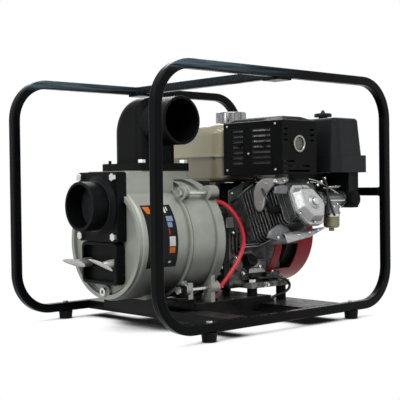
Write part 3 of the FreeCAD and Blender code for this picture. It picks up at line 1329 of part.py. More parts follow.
def muffler():
    """The box under the guard, its pipe down to the head and its outlet."""
    inset = S.muffler_inset
    x0, x1 = S.guard_start + inset, GUARD_END - inset
    y0, y1 = -S.guard_near + inset, GUARD_FAR - inset
    low, high = GUARD_BOTTOM + inset, GUARD_TOP - S.muffler_wall
    wall = S.muffler_wall
    shell = soften(span(x0, x1, y0, y1, low, high), inset, along("Y"))
    room = span(x0 + wall * 3, x1 - wall * 3, y0 + wall, y1 - wall, low + wall, high - wall)
    pieces = [shell,
              rod("Z", S.pipe_along, PIPE_Y, PIPE_START, S.pipe_radius,
                  low - PIPE_START + 1),
              rod("Y", OUTLET_X, -S.guard_near - wall, OUTLET_UP, S.outlet_radius,
                  inset + wall + 1)]
    for x, length in ((S.guard_start + S.guard_sheet, inset - S.guard_sheet + 1),
                      (x1 - 1, inset - S.guard_sheet + 1)):
        for y in STANDOFFS:
            pieces.append(rod("X", x, y, OUTLET_UP, S.small_bolt_radius * 2, length))
    cuts = [room,
            rod("Z", S.pipe_along, PIPE_Y, PIPE_START - 1, S.pipe_radius - wall,
                low - PIPE_START + 2 * wall + 2),
            rod("Y", OUTLET_X, -S.guard_near - wall - 1, OUTLET_UP, S.outlet_radius - wall * 2,
                inset + 2 * wall + 2)]
    node("muffler", cut(fuse(*pieces), *cuts))


OUTLET_X = S.guard_start + S.outlet_along
OUTLET_UP = GUARD_TOP - S.outlet_drop
STANDOFFS = (-S.guard_near + S.guard_width * 0.3, -S.guard_near + S.guard_width * 0.72)


def guard_form(margin):
    """The guard's shape drawn in by margin: a box under a hipped roof."""
    x0, x1 = S.guard_start + margin, GUARD_END - margin
    y0, y1 = -S.guard_near + margin, GUARD_FAR - margin
    walls = span(x0, x1, y0, y1, GUARD_BOTTOM - margin, GUARD_TOP)
    roof = bind(new("Part::Wedge", "Roof"), Xmin=0, Ymin=0, Zmin=0, X2min=S.guard_hip,
                Z2min=S.guard_hip, Xmax=x1 - x0, Ymax=S.guard_roof - margin, Zmax=y1 - y0,
                X2max=x1 - x0 - S.guard_hip, Z2max=y1 - y0 - S.guard_hip)
    return fuse(walls, turn(roof, "X", 90, x0, y1, GUARD_TOP))


def side_slots():
    """Louvre slots: (first y share, last y share, first row, rows) on the pump side."""
    slots = []
    half = S.slot_height / 2
    top = GUARD_TOP - S.slot_pitch * 1.6
    for first, last, skip, rows in ((0.20, 0.51, 0, S.slot_rows), (0.66, 0.86, 0, S.slot_rows)):
        for row in range(skip, int(rows.value)):
            z = top - row * S.slot_pitch
            slots.append(span(S.guard_start - 1, S.guard_start + 2 * S.guard_sheet,
                              -S.guard_near + S.guard_width * first,
                              -S.guard_near + S.guard_width * last, z - half, z + half))
    for first, last, rows in NEAR_SLOTS:
        for row in rows:
            z = top - row * S.slot_pitch
            slots.append(span(S.guard_start + S.guard_length * first,
                              S.guard_start + S.guard_length * last, -S.guard_near - 1,
                              -S.guard_near + 2 * S.guard_sheet, z - half, z + half))
    return slots


NEAR_SLOTS = [(0.04, 0.15, (0, 1, 2)), (0.81, 0.93, (0, 1, 2)), (0.04, 0.35, (5.8, 6.7)),
              (0.04, 0.80, (7.6,)), (0.55, 0.80, (6.7,))]
ROOF_SLOTS = 7


def roof_slots():
    """Two rows of narrow slots in the near slope of the roof."""
    slots = []
    pitch = S.slot_pitch * 0.55
    for start in (S.guard_hip, S.guard_length * 0.56):
        for at in range(ROOF_SLOTS):
            x = S.guard_start + start + at * pitch
            slots.append(span(x, x + pitch / 2, -S.guard_near + S.slot_height,
                              -S.guard_near + S.guard_hip - S.slot_height, GUARD_TOP - 1,
                              GUARD_TOP + S.guard_roof + 1))
    return slots


def muffler_guard():
    """The slotted sheet guard, open below and behind."""
    sheet = S.guard_sheet
    opening = [span(S.guard_start + sheet, GUARD_END - sheet, -S.guard_near + sheet,
                    GUARD_FAR + 1, GUARD_BOTTOM - 1, GUARD_TOP - sheet),
               rod("Y", OUTLET_X, -S.guard_near - 1, OUTLET_UP,
                   S.outlet_radius + S.skirt_gap, 2 * sheet + 2)]
    shell = cut(guard_form(size(0)), guard_form(sheet), *opening, *side_slots(), *roof_slots())
    heads = []
    for y in STANDOFFS:
        heads.append(rod("X", S.guard_start - S.small_bolt_radius, y, OUTLET_UP,
                         S.small_bolt_radius * 1.5, S.small_bolt_radius))
    node("muffler_guard", fuse(shell, *heads))


# ---------------------------------------------------------------- fuel and air

def tank_outline(margin):
    return rounded(S.tank_start + margin, -S.tank_near + margin,
                   S.tank_start + S.tank_length - margin,
                   S.tank_width - S.tank_near - margin, S.tank_corner - margin)


def tank_form(name, margin):
    low, high = TANK_BOTTOM + margin, TANK_TOP - margin
    form = extrude(name, "XY", [tank_outline(margin)], high - low, offset=low)
    form = soften(form, S.tank_top_round - margin, level("Z", high))
    return soften(form, S.tank_low_round - margin, level("Z", low))


def fuel_tank():
    """The pressed tank with its seam lip and filler neck."""
    lip = extrude("tank_lip", "XY", [tank_outline(-S.tank_lip)], S.tank_lip_thick,
                  offset=TANK_BOTTOM + S.tank_seam)
    x, y = S.cap_middle, S.cap_across
    start = TANK_TOP - 2 * S.tank_sheet
    neck = rod("Z", x, y, start, S.neck_radius_fuel + S.tank_sheet,
               S.neck_rise + 2 * S.tank_sheet)
    hole = rod("Z", x, y, start - 1, S.neck_radius_fuel, S.neck_rise + 3 * S.tank_sheet + 1)
    node("fuel_tank", cut(fuse(tank_form("tank_outside", size(0)), lip, neck),
                          tank_form("tank_inside", S.tank_sheet), hole))
    low = TANK_TOP + S.cap_lift
    cap = soften(rod("Z", x, y, low, S.cap_radius, S.cap_height), S.cap_wall,
                 level("Z", low + S.cap_height))
    inner = S.neck_radius_fuel + S.tank_sheet + S.skirt_gap
    socket = rod("Z", x, y, low - 1, inner, S.neck_rise - S.cap_lift + S.skirt_gap + 1)
    ribs = [rod("Z", x + S.cap_radius * math.cos(at * RIB_STEP),
                y + S.cap_radius * math.sin(at * RIB_STEP), low - 1, S.cap_wall / 2,
                S.cap_height - S.cap_wall) for at in range(CAP_RIBS)]
    node("fuel_cap", cut(cap, socket, *ribs))


CAP_RIBS = 24
RIB_STEP = 2 * math.pi / CAP_RIBS


def cleaner_outline(margin):
    return rounded(S.cleaner_start + margin, -S.cleaner_near + margin,
                   S.cleaner_start + S.cleaner_length - margin,
                   S.cleaner_width - S.cleaner_near - margin, S.cleaner_corner)


def cleaner_cover():
    """The tapered plastic cover of the air cleaner."""
    wall = S.cleaner_wall
    draft = slope(S.cleaner_taper, S.cleaner_height)
    form = tapered("cleaner_form", cleaner_outline(0), TRAY_TOP, S.cleaner_height, draft)
    form = soften(form, S.cleaner_taper, level("Z", CLEANER_TOP))
    room = tapered("cleaner_room", cleaner_outline(wall), TRAY_TOP - 1,
                   S.cleaner_height - wall + 1, draft)
    hole = rod("Z", KNOB_X, KNOB_Y, TRAY_TOP, S.knob_stud + S.skirt_gap, S.cleaner_height + 1)
    node("air_cleaner_cover", cut(form, room, hole))


KNOB_X = S.cleaner_start + S.knob_along
KNOB_Y = S.knob_inset - S.cleaner_near
DUCT_END = S.duct_start + S.duct_length
DUCT_LOW = TRAY_BOTTOM - S.duct_drop


def cleaner_base():
    """The tray with its lip and stud, and the duct down to the carburettor."""
    wall = S.cleaner_wall
    y0 = -S.duct_near
    y1 = y0 + S.duct_width
    tray = extrude("tray", "XY", [cleaner_outline(-S.tray_lip)], S.tray_height,
                   offset=TRAY_BOTTOM)
    room = extrude("tray_room", "XY", [cleaner_outline(wall - S.tray_lip)],
                   S.tray_height - 2 * wall, offset=TRAY_BOTTOM + wall)
    mouth = extrude("tray_mouth", "XY", [cleaner_outline(S.tray_ledge)], 2 * wall,
                    offset=TRAY_TOP - wall - 1)
    duct = soften(span(S.duct_start, DUCT_END, y0, y1, DUCT_LOW, TRAY_BOTTOM + 1),
                  S.cleaner_taper / 2, both(along("Y"), level("Z", DUCT_LOW)))
    passage = span(S.duct_start + wall, DUCT_END - wall, y0 + wall, y1 - wall,
                   DUCT_LOW + wall, TRAY_BOTTOM + wall + 1)
    inlet = rod("X", S.duct_start - 1, -S.intake_near, INTAKE_Z, S.throat_radius, wall + 2)
    stud = rod("Z", KNOB_X, KNOB_Y, TRAY_BOTTOM + 1, S.knob_stud,
               CLEANER_TOP - TRAY_BOTTOM + S.knob_height / 2)
    node("air_cleaner_base", fuse(cut(fuse(tray, duct), room, mouth, passage, inlet), stud))


def air_filter():
    """The paper element that stands round the stud."""
    margin = S.tray_ledge + 2 * S.cleaner_wall
    low = TRAY_BOTTOM + S.cleaner_wall
    height = S.tray_height + S.cleaner_height * 0.45
    length = S.cleaner_length - 2 * margin
    block = extrude("element", "XY", [cleaner_outline(margin + S.cleaner_wall)], height,
                    offset=low)
    core = span(KNOB_X - length / 4, KNOB_X + length / 4, KNOB_Y - length / 2,
                KNOB_Y + length / 2, low - 1, low + height - S.cleaner_wall)
    hole = rod("Z", KNOB_X, KNOB_Y, low, S.knob_stud + S.skirt_gap, height + 1)
    node("air_filter", cut(block, core, hole))


def cleaner_knob():
    """The wing-less knob that clamps the cover; it turns on the stud."""
    low = CLEANER_TOP + S.skirt_gap
    neck = rod("Z", KNOB_X, KNOB_Y, low, S.knob_radius / 2, S.knob_height / 2)
    disc = rod("Z", KNOB_X, KNOB_Y, low + S.knob_height / 3, S.knob_radius, S.knob_height / 2)
    disc = soften(disc, S.knob_height / 6, level("Z", low + S.knob_height * 5 / 6))
    tip = cone("Z", KNOB_X, KNOB_Y, low + S.knob_height * 0.8, S.knob_radius / 3, S.knob_stud,
               S.knob_height / 2)
    socket = rod("Z", KNOB_X, KNOB_Y, low - 1, S.knob_stud + S.running_fit,
                 S.knob_height / 2 + 2)
    node("air_cleaner_knob", cut(fuse(neck, disc, tip), socket))


def carburettor():
    """The throttle body with its float bowl, lever bosses and two studs."""
    y, z = -S.intake_near, INTAKE_Z
    x1 = S.duct_start
    x0 = S.carb_start
    flange = S.cleaner_wall * 2
    bowl_x = x0 + S.bowl_along
    top = z + S.carb_radius
    pieces = [rod("X", x0, y, z, S.carb_radius * 0.9, x1 - x0),
              rod("X", x0, y, z, S.carb_radius * 1.15, flange),
              rod("X", x1 - flange, y, z, S.carb_radius * 1.15, flange),
              soften(rod("Z", bowl_x, y, z - S.bowl_drop, S.bowl_radius, S.bowl_drop),
                     S.case_wall, level("Z", z - S.bowl_drop)),
              hexagon("Z", bowl_x, y, z - S.bowl_drop - S.case_wall, S.plug_radius * 1.4,
                      S.case_wall + 1)]
    for reach in (S.throttle_along, S.choke_along):
        pieces.append(rod("Z", x0 + reach, y, z, S.lever_width * 0.8, S.carb_radius))
    for side in SIDES:
        pieces.append(rod("X", x0, y + side * S.carb_radius * 0.95, z, S.lever_pin, x1 - x0))
    cuts = [rod("X", x0 - 1, y, z, S.throat_radius, x1 - x0 + 2)]
    cuts += [rod("Z", x0 + reach, y, z - 1, S.lever_pin + S.running_fit, S.carb_radius + 2)
             for reach in (S.throttle_along, S.choke_along)]
    node("carburettor", cut(fuse(*pieces), *cuts))
    lever("throttle_lever", x0 + S.throttle_along, top, -1)
    lever("choke_lever", x0 + S.choke_along, top, 1)


def lever(name, x, top, side):
    """A flat lever on an upright spindle; side is the way it points along Y."""
    low = top + S.skirt_gap
    y = -S.intake_near
    end = y + side * S.lever_length
    half = S.lever_width / 2
    arm = span(x - half, x + half, *((end, y) if side < 0 else (y, end)), low,
               low + S.lever_thick)
    hub = rod("Z", x, y, low, S.lever_width * 0.7, S.lever_thick * 2)
    eye = rod("Z", x, end, low, half, S.lever_thick * 2)
    spindle = rod("Z", x, y, top - S.carb_radius + S.throat_radius, S.lever_pin,
                  S.carb_radius - S.throat_radius + 1 + S.skirt_gap)
    node(name, fuse(arm, hub, eye, spindle))


# ---------------------------------------------------------------- cooling and starter

def sector(name, first, last, start, length):
    """A wedge of the circle about the crank axis, on the near side below level."""
    far = S.fan_radius * 2
    corners = [(0, AXIS)]
    for turned in (first, last):
        angle = math.radians(turned.value)
        corners.append((-far * math.cos(angle), AXIS - far * math.sin(angle)))
    return extrude(name, "YZ", [corners], length, offset=start)


def fan_cover():
    """The pressed fan housing with its air lip, window and switch seat."""
    wall = S.fan_wall
    radius = S.fan_radius
    drum = cut(soften(rod("X", CASE_END, 0, AXIS, radius, S.fan_depth), wall * 2,
                      level("X", FAN_END)),
               rod("X", CASE_END - 1, 0, AXIS, radius - wall, S.fan_depth - wall + 1),
               rod("X", FAN_END - wall - 1, 0, AXIS, S.starter_radius - 2 * wall, wall + 2),
               rod("X", FAN_END - wall - 1, -S.switch_across, AXIS + S.switch_rise,
                   S.stem_radius + S.running_fit, wall + 2))
    lip = common(ring("X", CASE_END - S.fan_lip, 0, AXIS, radius, radius - wall,
                      S.fan_lip + 1),
                 sector("lip_sector", S.lip_from, S.lip_to, CASE_END - S.fan_lip,
                        S.fan_lip + 1))
    x0 = CASE_END - S.window_start
    window = common(ring("X", x0, 0, AXIS, radius + 1, radius - wall - 1,
                         S.window_start + S.window_end),
                    sector("window_sector", S.window_from, S.window_to, x0,
                           S.window_start + S.window_end))
    node("fan_cover", cut(fuse(drum, lip), window))


def recoil_starter():
    """The recoil housing on the end of the fan cover, with the rope guide."""
    wall = S.fan_wall
    dish = soften(rod("X", FAN_END, 0, AXIS, S.starter_radius, S.starter_depth), wall * 3,
                  level("X", STARTER_END))
    room = rod("X", FAN_END - 1, 0, AXIS, S.starter_radius - wall, S.starter_depth - wall + 1)
    post = rod("X", FAN_END + wall, 0, AXIS, S.shaft_radius, S.starter_depth - wall - 1)
    x = FAN_END + S.starter_depth / 2
    reach = S.grip_across - S.grip_radius - S.skirt_gap
    guide = span(x - S.stem_radius * 1.8, x + S.stem_radius * 1.8, S.guide_across, reach,
                 AXIS + S.grip_rise - S.stem_radius * 1.8,
                 AXIS + S.grip_rise + S.stem_radius * 1.8)
    hole = rod("Y", x, S.guide_across - S.grip_radius, AXIS + S.grip_rise,
               S.stem_radius + S.skirt_gap, S.grip_across)
    vents = []
    for at in range(VENTS):
        angle = 2 * math.pi * at / VENTS
        vents.append(rod("X", STARTER_END - 2 * wall, S.starter_radius * 0.62 * math.cos(angle),
                         AXIS + S.starter_radius * 0.62 * math.sin(angle), S.grip_radius,
                         3 * wall))
    body = fuse(cut(dish, room), post, guide)
    node("recoil_starter", cut(body, hole, *vents))
    grip = soften(rod("Z", x, S.grip_across, AXIS + S.grip_rise - S.grip_length / 2,
                      S.grip_radius, S.grip_length), S.grip_radius / 2,
                  lambda edge: edge.Curve.TypeId == "Part::GeomCircle")
    stem = rod("Y", x, S.guide_across + S.grip_radius, AXIS + S.grip_rise, S.stem_radius,
               S.grip_across - S.guide_across - S.grip_radius)
    node("recoil_handle", fuse(grip, stem))


VENTS = 12


def flywheel():
    """The flywheel with its hub, rim and fan vanes patterned round the shaft."""
    thick = S.flywheel_thick
    radius = S.flywheel_radius
    body = new_body("flywheel_body")
    web = thick / 3
    rim = radius - S.bolt_depth
    profile = [(0, SHAFT_FIT), (thick, SHAFT_FIT), (thick, S.hub_radius), (web, S.hub_radius),
               (web, rim), (thick, rim), (thick, radius), (0, radius)]
    disc = body.newObject("PartDesign::Revolution", "Revolution")
    disc.Profile = draw(body, "XZ", [profile])
    disc.ReferenceAxis = (plane_of(body, "X_Axis"), [""])
    disc.Angle = 360
    half = S.vane_thick / 2
    vane = [(-half, radius * 0.6), (half, radius * 0.6), (half, radius - half),
            (-half, radius - half)]
    fan = pad(body, draw(body, "YZ", [vane], web - 1), thick - web + S.vane_height)
    pattern = body.newObject("PartDesign::PolarPattern", "Vanes")
    pattern.Originals = [fan]
    pattern.Axis = (plane_of(body, "X_Axis"), [""])
    pattern.Angle = 360
    pattern.Occurrences = int(S.flywheel_vanes.value)
    body.Tip = pattern
    node("flywheel", move(body, FLYWHEEL_X, 0, AXIS))


def engine_switch():
    """The rotary stop switch in the end face of the fan cover."""
    x = FAN_END + S.skirt_gap
    y, z = -S.switch_across, AXIS + S.switch_rise
    knob = soften(rod("X", x, y, z, S.switch_radius, S.switch_depth * 0.6), S.gasket,
                  level("X", x + S.switch_depth * 0.6))
    bar = span(x, x + S.switch_depth, y - S.switch_radius * 0.25, y + S.switch_radius * 0.25,
               z - S.switch_radius * 0.9, z + S.switch_radius * 0.9)
    stem = rod("X", FAN_END - S.fan_wall - 2, y, z, S.stem_radius, S.fan_wall + 3)
    node("engine_switch", fuse(knob, bar, stem))


def oil_filler_cap():
    """The screwed oil cap and dipstick plug."""
    low = S.filler_length + S.skirt_gap
    head = soften(rod("Z", 0, 0, low, S.oil_cap_radius, S.oil_cap_length), S.gasket * 2,
                  level("Z", low + S.oil_cap_length))
    bar = span(-S.oil_cap_radius * 0.9, S.oil_cap_radius * 0.9, -S.stem_radius / 2,
               S.stem_radius / 2, low, low + S.oil_cap_length * 1.5)
    stem = rod("Z", 0, 0, S.case_wall / 2, FILLER_BORE - S.running_fit, low - S.case_wall / 2)
    holder = new("Part::Compound", "Held")
    holder.Links = [fuse(head, bar, stem)]
    node("oil_filler_cap", turn(holder, "X", S.filler_turn, *FILLER))


# ---------------------------------------------------------------- cable and hose

CABLE_ROUTE = [(-65, -102, 303), (-46, -102, 303), (-22, -108, 289), (0, -114, 264),
               (17, -116, 234), (23, -117, 205), (15, -117, 176), (-4, -117, 149),
               (-29, -115, 121), (-46, -111, 102), (-58, -106, 88), (-65, -101, 77.2),
               (-65, -101, 66.2)]
HOSE_ROUTE = [(75, -96, 105), (75, -106, 105), (80, -118, 105.5), (94, -126, 106), (117, -129, 106),
              (144, -128, 103), (166, -128, 96), (180, -128, 84), (178, -127, 71),
              (162, -125, 63), (143, -121, 58), (131, -117, 54.5), (126, -115, 50.2),
              (126, -115, 46.2)]


def cord(name, route, radius):
    """A tube along straight runs joined by arcs as large as the runs allow."""
    points = [FreeCAD.Vector(*point) for point in route]
    edges = []
    last = points[0]
    radii = []
    for before, corner, after in zip(points, points[1:], points[2:]):
        back = (before - corner).normalize()
        ahead = (after - corner).normalize()
        bend = math.pi - back.getAngle(ahead)
        reach = 0.45 * min(corner.distanceToPoint(before), corner.distanceToPoint(after))
        radii.append(reach / math.tan(bend / 2))
        start, end = corner + back * reach, corner + ahead * reach
        middle = (back + ahead).normalize()
        apex = corner + middle * (radii[-1] / math.cos(bend / 2) - radii[-1])
        edges.append(Part.LineSegment(last, start).toShape())
        edges.append(Part.Arc(start, apex, end).toShape())
        last = end
    edges.append(Part.LineSegment(last, points[-1]).toShape())
    path = Part.Wire(edges)
    ring_edge = Part.Circle(points[0], points[1] - points[0], radius.value).toShape()
    tube = Part.BRepOffsetAPI.MakePipeShell(path)
    tube.add(Part.Wire([ring_edge]))
    tube.build()
    tube.makeSolid()
    obj = new("Part::Feature", "Tube")
    obj.Shape = tube.shape()
    wanted = math.pi * radius.value ** 2 * path.Length
    if abs(obj.Shape.Volume - wanted) > wanted * 0.01:
        raise RuntimeError(name + " has the wrong volume")
    print("%s length %.0f radii %s" % (name, path.Length, [round(bend) for bend in radii]))
    node(name, obj)


def cables():
    cord("starter_cable", CABLE_ROUTE, S.cable_radius)
    cord("drain_hose", HOSE_ROUTE, S.hose_radius)
    grommets = []
    for route, radius, seat in ((CABLE_ROUTE, S.cable_radius, PLATE_TOP),
                                (HOSE_ROUTE, S.hose_radius, BAR_TOP)):
        x, y, z = route[-1]
        grommets.append(cone("Z", x, y, seat, radius + S.gland_wall, radius + S.gland_wall / 2,
                             z - seat))
    node("cable_grommets", group(grommets))


# ---------------------------------------------------------------- finish

def check_and_export():
    doc.recompute()
    for obj in doc.Objects:
        if "Invalid" in obj.State or "Error" in obj.State:
            raise RuntimeError("%s (%s) failed: %s" % (obj.Name, obj.Label, obj.State))
    os.makedirs("parts", exist_ok=True)
    for name, obj in NODES.items():
        shape = obj.Shape
        if shape.isNull() or not shape.isValid():
            raise RuntimeError("%s has a bad shape" % name)
        shape.exportStep("parts/%s.step" % name)
        box = shape.BoundBox
        print("%-20s solids %2d volume %9.0f  x %7.1f %7.1f  y %7.1f %7.1f  z %6.1f %6.1f" % (
            name, len(shape.Solids), shape.Volume, box.XMin, box.XMax, box.YMin, box.YMax,
            box.ZMin, box.ZMax))


side_loop("near_side_loop", -LOOP_Y)
side_loop("far_side_loop", LOOP_Y)
top_cross_bar()
rear_cross_bar()
base_sheets()
feet()
mounts()
pump_casing()
check_valve()
gaskets()
pump_adapter()
casing_bolts()
suction_flange()
flange_bolts()
discharge_elbow()
cleanout_cover()
wing_knob("near_wing_knob", -1, S.near_wing_tilt)
wing_knob("far_wing_knob", 1, S.far_wing_tilt)
drain_plug()
volute()
impeller()
shaft_seal()
crankcase()
crankcase_cover()
crankshaft()
cylinder_barrel()
cylinder_head()
piston()
valve_cover()
spark_plug()
cylinder_shrouds()
muffler()
muffler_guard()
fuel_tank()
cleaner_cover()
cleaner_base()
air_filter()
cleaner_knob()
carburettor()
fan_cover()
recoil_starter()
flywheel()
engine_switch()
oil_filler_cap()
cables()
check_and_export()
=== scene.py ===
"""Looks of the portable fire pump: finishes, label, welds, cords and small trim.

Places and sizes are in millimetres, and piece() and mm() turn them into Blender's metres.
Wires, cords, the stage, the lamps and the camera are in metres.
"""

import json
import random
from math import cos, pi, radians, sin, sqrt, tan

import bmesh
import bpy
from mathutils import Matrix, Vector

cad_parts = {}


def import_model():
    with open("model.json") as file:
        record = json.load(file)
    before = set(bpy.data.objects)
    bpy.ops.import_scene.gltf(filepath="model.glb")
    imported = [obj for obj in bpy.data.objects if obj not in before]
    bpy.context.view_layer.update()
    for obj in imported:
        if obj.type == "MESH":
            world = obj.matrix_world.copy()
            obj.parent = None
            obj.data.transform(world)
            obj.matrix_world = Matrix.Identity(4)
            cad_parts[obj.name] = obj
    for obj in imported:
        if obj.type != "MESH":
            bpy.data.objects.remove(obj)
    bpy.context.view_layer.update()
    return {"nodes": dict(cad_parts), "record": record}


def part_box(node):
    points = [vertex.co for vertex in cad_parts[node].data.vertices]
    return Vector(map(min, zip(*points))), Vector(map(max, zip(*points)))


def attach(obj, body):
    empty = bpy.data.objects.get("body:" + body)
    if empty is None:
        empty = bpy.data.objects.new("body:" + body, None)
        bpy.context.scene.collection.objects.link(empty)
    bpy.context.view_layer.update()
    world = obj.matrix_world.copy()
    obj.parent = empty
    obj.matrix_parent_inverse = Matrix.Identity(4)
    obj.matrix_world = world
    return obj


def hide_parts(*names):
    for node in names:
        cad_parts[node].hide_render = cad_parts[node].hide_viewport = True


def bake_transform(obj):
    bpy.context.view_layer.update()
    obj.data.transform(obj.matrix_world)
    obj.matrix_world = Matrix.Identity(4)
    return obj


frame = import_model()
MM = 0.001
random.seed(7)

# ---------------- places, from the frame


def low(node):
    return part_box(node)[0] / MM


def high(node):
    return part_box(node)[1] / MM


def middle(node):
    return (low(node) + high(node)) / 2


def placed(name, data):
    obj = bpy.data.objects.new(name, data)
    bpy.context.scene.collection.objects.link(obj)
    return obj


def mm(*route):
    """Points given in millimetres, in metres."""
    return [tuple(value * MM for value in point) for point in route]


AXIS_Z = middle("flywheel").z
TO_NEAR = (0, -1, 0)
TO_PUMP = (-1, 0, 0)


# ---------------- materials

def rgba(color):
    """A grey level or a colour, as a shader's four numbers."""
    return (*color, 1) if isinstance(color, tuple) else (color, color, color, 1)


def add_node(tree, kind, inputs, **settings):
    """A shader node; each input is a number or colour, or a socket to link to it."""
    made = tree.nodes.new("ShaderNode" + kind)
    for key, value in settings.items():
        setattr(made, key, value)
    for key, value in inputs.items():
        socket = made.inputs[key]
        if isinstance(value, bpy.types.NodeSocket):
            tree.links.new(value, socket)
        elif socket.type == "RGBA":
            socket.default_value = rgba(value)
        else:
            socket.default_value = value
    return made


def color_ramp(tree, source, *stops):
    """A ramp through stops, each a position and a grey level or colour."""
    made = add_node(tree, "ValToRGB", {"Fac": source})
    elements = made.color_ramp.elements
    while len(elements) < len(stops):
        elements.new(0.5)
    for element, (position, value) in zip(elements, stops):
        element.position = position
        element.color = rgba(value)
    return made.outputs["Color"]


class Finish:
    """A procedural material, whose textures are in the object's own coordinates."""

    def __init__(self, name, color, rough, metal=0.0, specular=0.5):
        self.material = bpy.data.materials.new(name)
        self.material.use_nodes = True
        self.tree = self.material.node_tree
        self.shader = self.tree.nodes["Principled BSDF"]
        self.color = rgba(color)[:3]
        self.base = self.color
        self.rough = rough
        self.bumps = []
        self.value("Base Color", rgba(color))
        self.value("Roughness", rough)
        self.value("Metallic", metal)
        self.value("Specular IOR Level", specular)
        self.place = self.node("TexCoord", {}).outputs["Object"]

    def value(self, socket, value):
        self.shader.inputs[socket].default_value = value

    def node(self, kind, inputs, **settings):
        return add_node(self.tree, kind, inputs, **settings)

    def link(self, source, socket):
        self.tree.links.new(source, self.shader.inputs[socket])

    def stretched(self, scale):
        made = self.node("Mapping", {"Scale": scale, "Vector": self.place})
        return made.outputs["Vector"]

    def noise(self, size, detail=4, place=None):
        """A noise whose features are about size millimetres."""
        made = self.node("TexNoise", {
            "Scale": 1 / (size * MM), "Detail": detail, "Roughness": 0.55,
            "Vector": place or self.place})
        return made.outputs["Fac"]

    def ramp(self, source, *stops):
        return color_ramp(self.tree, source, *stops)

    def mix(self, share, first, second, blend="MIX"):
        made = self.node("Mix", {0: share, 6: first, 7: second},
                         data_type="RGBA", blend_type=blend)
        return made.outputs[2]

    def times(self, first, second):
        return self.mix(1.0, first, second, "MULTIPLY")

    def normal(self):
        return self.node("NewGeometry", {}).outputs["Normal"]

    def component(self, source, axis):
        """One coordinate of a place or a direction."""
        return self.node("SeparateXYZ", {0: source}).outputs[axis]

    def along(self, axis, start, stop):
        """0 at start and 1 at stop, two places along an axis."""
        made = self.node("MapRange", {
            "From Min": start * MM, "From Max": stop * MM,
            "Value": self.component(self.place, axis)})
        return made.outputs["Result"]

    def tone(self, spread, size, detail=4, place=None):
        """The base colour varies by spread about its middle."""
        darker = tuple(c * (1 - spread) for c in self.color)
        lighter = tuple(min(1, c * (1 + spread)) for c in self.color)
        self.base = self.ramp(self.noise(size, detail, place), (0.28, darker), (0.72, lighter))
        self.link(self.base, "Base Color")
        return self

    def over(self, share, color):
        """Paints color over what the base has so far, where share is high."""
        self.base = self.mix(share, self.base, color)
        self.link(self.base, "Base Color")
        return self

    def stains(self, color, amount, size, start, stop):
        """Patches of another colour where a noise passes from start to stop."""
        self.over(self.ramp(self.noise(size, 5), (start, 0.0), (stop, amount)), color)

    def gloss(self, spread, size, detail=4):
        """The roughness varies by spread about its middle."""
        made = self.node("MapRange", {
            "From Min": 0.3, "From Max": 0.7, "To Min": max(0.03, self.rough - spread),
            "To Max": min(1, self.rough + spread), "Value": self.noise(size, detail)})
        self.link(made.outputs["Result"], "Roughness")

    def bump(self, height, size, detail=4, place=None):
        """Fine relief, height millimetres deep, on top of any relief so far."""
        inputs = {"Distance": height * MM, "Height": self.noise(size, detail, place)}
        if self.bumps:
            inputs["Normal"] = self.bumps[-1].outputs["Normal"]
        self.bumps.append(self.node("Bump", inputs))
        self.link(self.bumps[-1].outputs["Normal"], "Normal")
        return self

    def edges(self, radius):
        """Rounds the shading of sharp edges; gives where they are, for wear and painted edge
        highlights.
        """
        rounded = self.node("Bevel", {"Radius": radius * MM}, samples=4)
        first = self.bumps[0] if self.bumps else self.shader
        self.tree.links.new(rounded.outputs["Normal"], first.inputs["Normal"])
        dot = self.node("VectorMath", {0: rounded.outputs["Normal"], 1: self.normal()},
                        operation="DOT_PRODUCT")
        return dot.outputs["Value"]

    def edge_wear_and_highlight(self, radius, color, amount=0.5, patches=4, least=0.0):
        """Edges are rounded, and color comes through along them in patches, as wear and as
        painted highlights.
        """
        edge = self.ramp(self.edges(radius), (0.80, 1.0), (0.985, 0.0))
        patchy = self.ramp(self.noise(patches), (0.45, least), (0.62, amount))
        return self.over(self.times(edge, patchy), color)

    def crevice_shade(self, reach, color, amount, start=0.35, stop=0.85):
        """Painted shade: darker where other faces stand within reach."""
        near = self.node("AmbientOcclusion", {"Distance": reach * MM}, samples=6)
        self.over(self.ramp(near.outputs["AO"], (start, amount), (stop, 0.0)), color)

    def shade_below(self, color, amount, start=0.05):
        """Painted shade: darker on faces that look down."""
        up = self.component(self.normal(), "Z")
        down = self.node("Math", {0: up, 1: -1}, operation="MULTIPLY").outputs[0]
        self.over(self.ramp(down, (start, 0.0), (0.75, amount)), color)

    def dusty(self, color, amount):
        """Dust lies on faces that look up, thicker in broad patches."""
        up = self.ramp(self.component(self.normal(), "Z"), (0.55, 0.0), (0.95, amount))
        patchy = self.ramp(self.noise(30), (0.35, 0.35), (0.65, 1.0))
        return self.over(self.times(up, patchy), color)


def frame_paint():
    """The cage's paint, with a painted bluish sheen in streaks along its top towards the pump's
    end.
    """
    paint = Finish("frame_black_paint", (0.0026, 0.0029, 0.0036), 0.25, specular=0.06)
    paint.tone(0.2, 60, 3)
    paint.gloss(0.07, 16)
    paint.bump(0.06, 1.6, 2)
    paint.bump(0.1, 11, 2)
    # Painted reflection: a bluish sheen in streaks along the top tubes.
    top = high("near_side_loop").z
    sheen_zone = paint.times(paint.along("Z", top - 30, top - 12),
                         paint.along("X", 60, low("near_side_loop").x * 0.6))
    sheen_streaks = paint.ramp(paint.noise(5, 3, paint.stretched((0.04, 1, 1))),
                         (0.35, 0.1), (0.62, 0.9))
    paint.over(paint.times(sheen_zone, sheen_streaks), (0.12, 0.175, 0.205))
    return paint.edge_wear_and_highlight(1, (0.045, 0.047, 0.05), 0.4)


def sheet_paint():
    paint = Finish("base_sheet_paint", (0.005, 0.005, 0.0052), 0.34, specular=0.12)
    paint.tone(0.25, 45, 3)
    paint.gloss(0.1, 22, 5)
    paint.bump(0.05, 1.4, 2)
    paint.dusty((0.10, 0.094, 0.085), 0.4)
    return paint.edge_wear_and_highlight(0.8, (0.16, 0.16, 0.155))


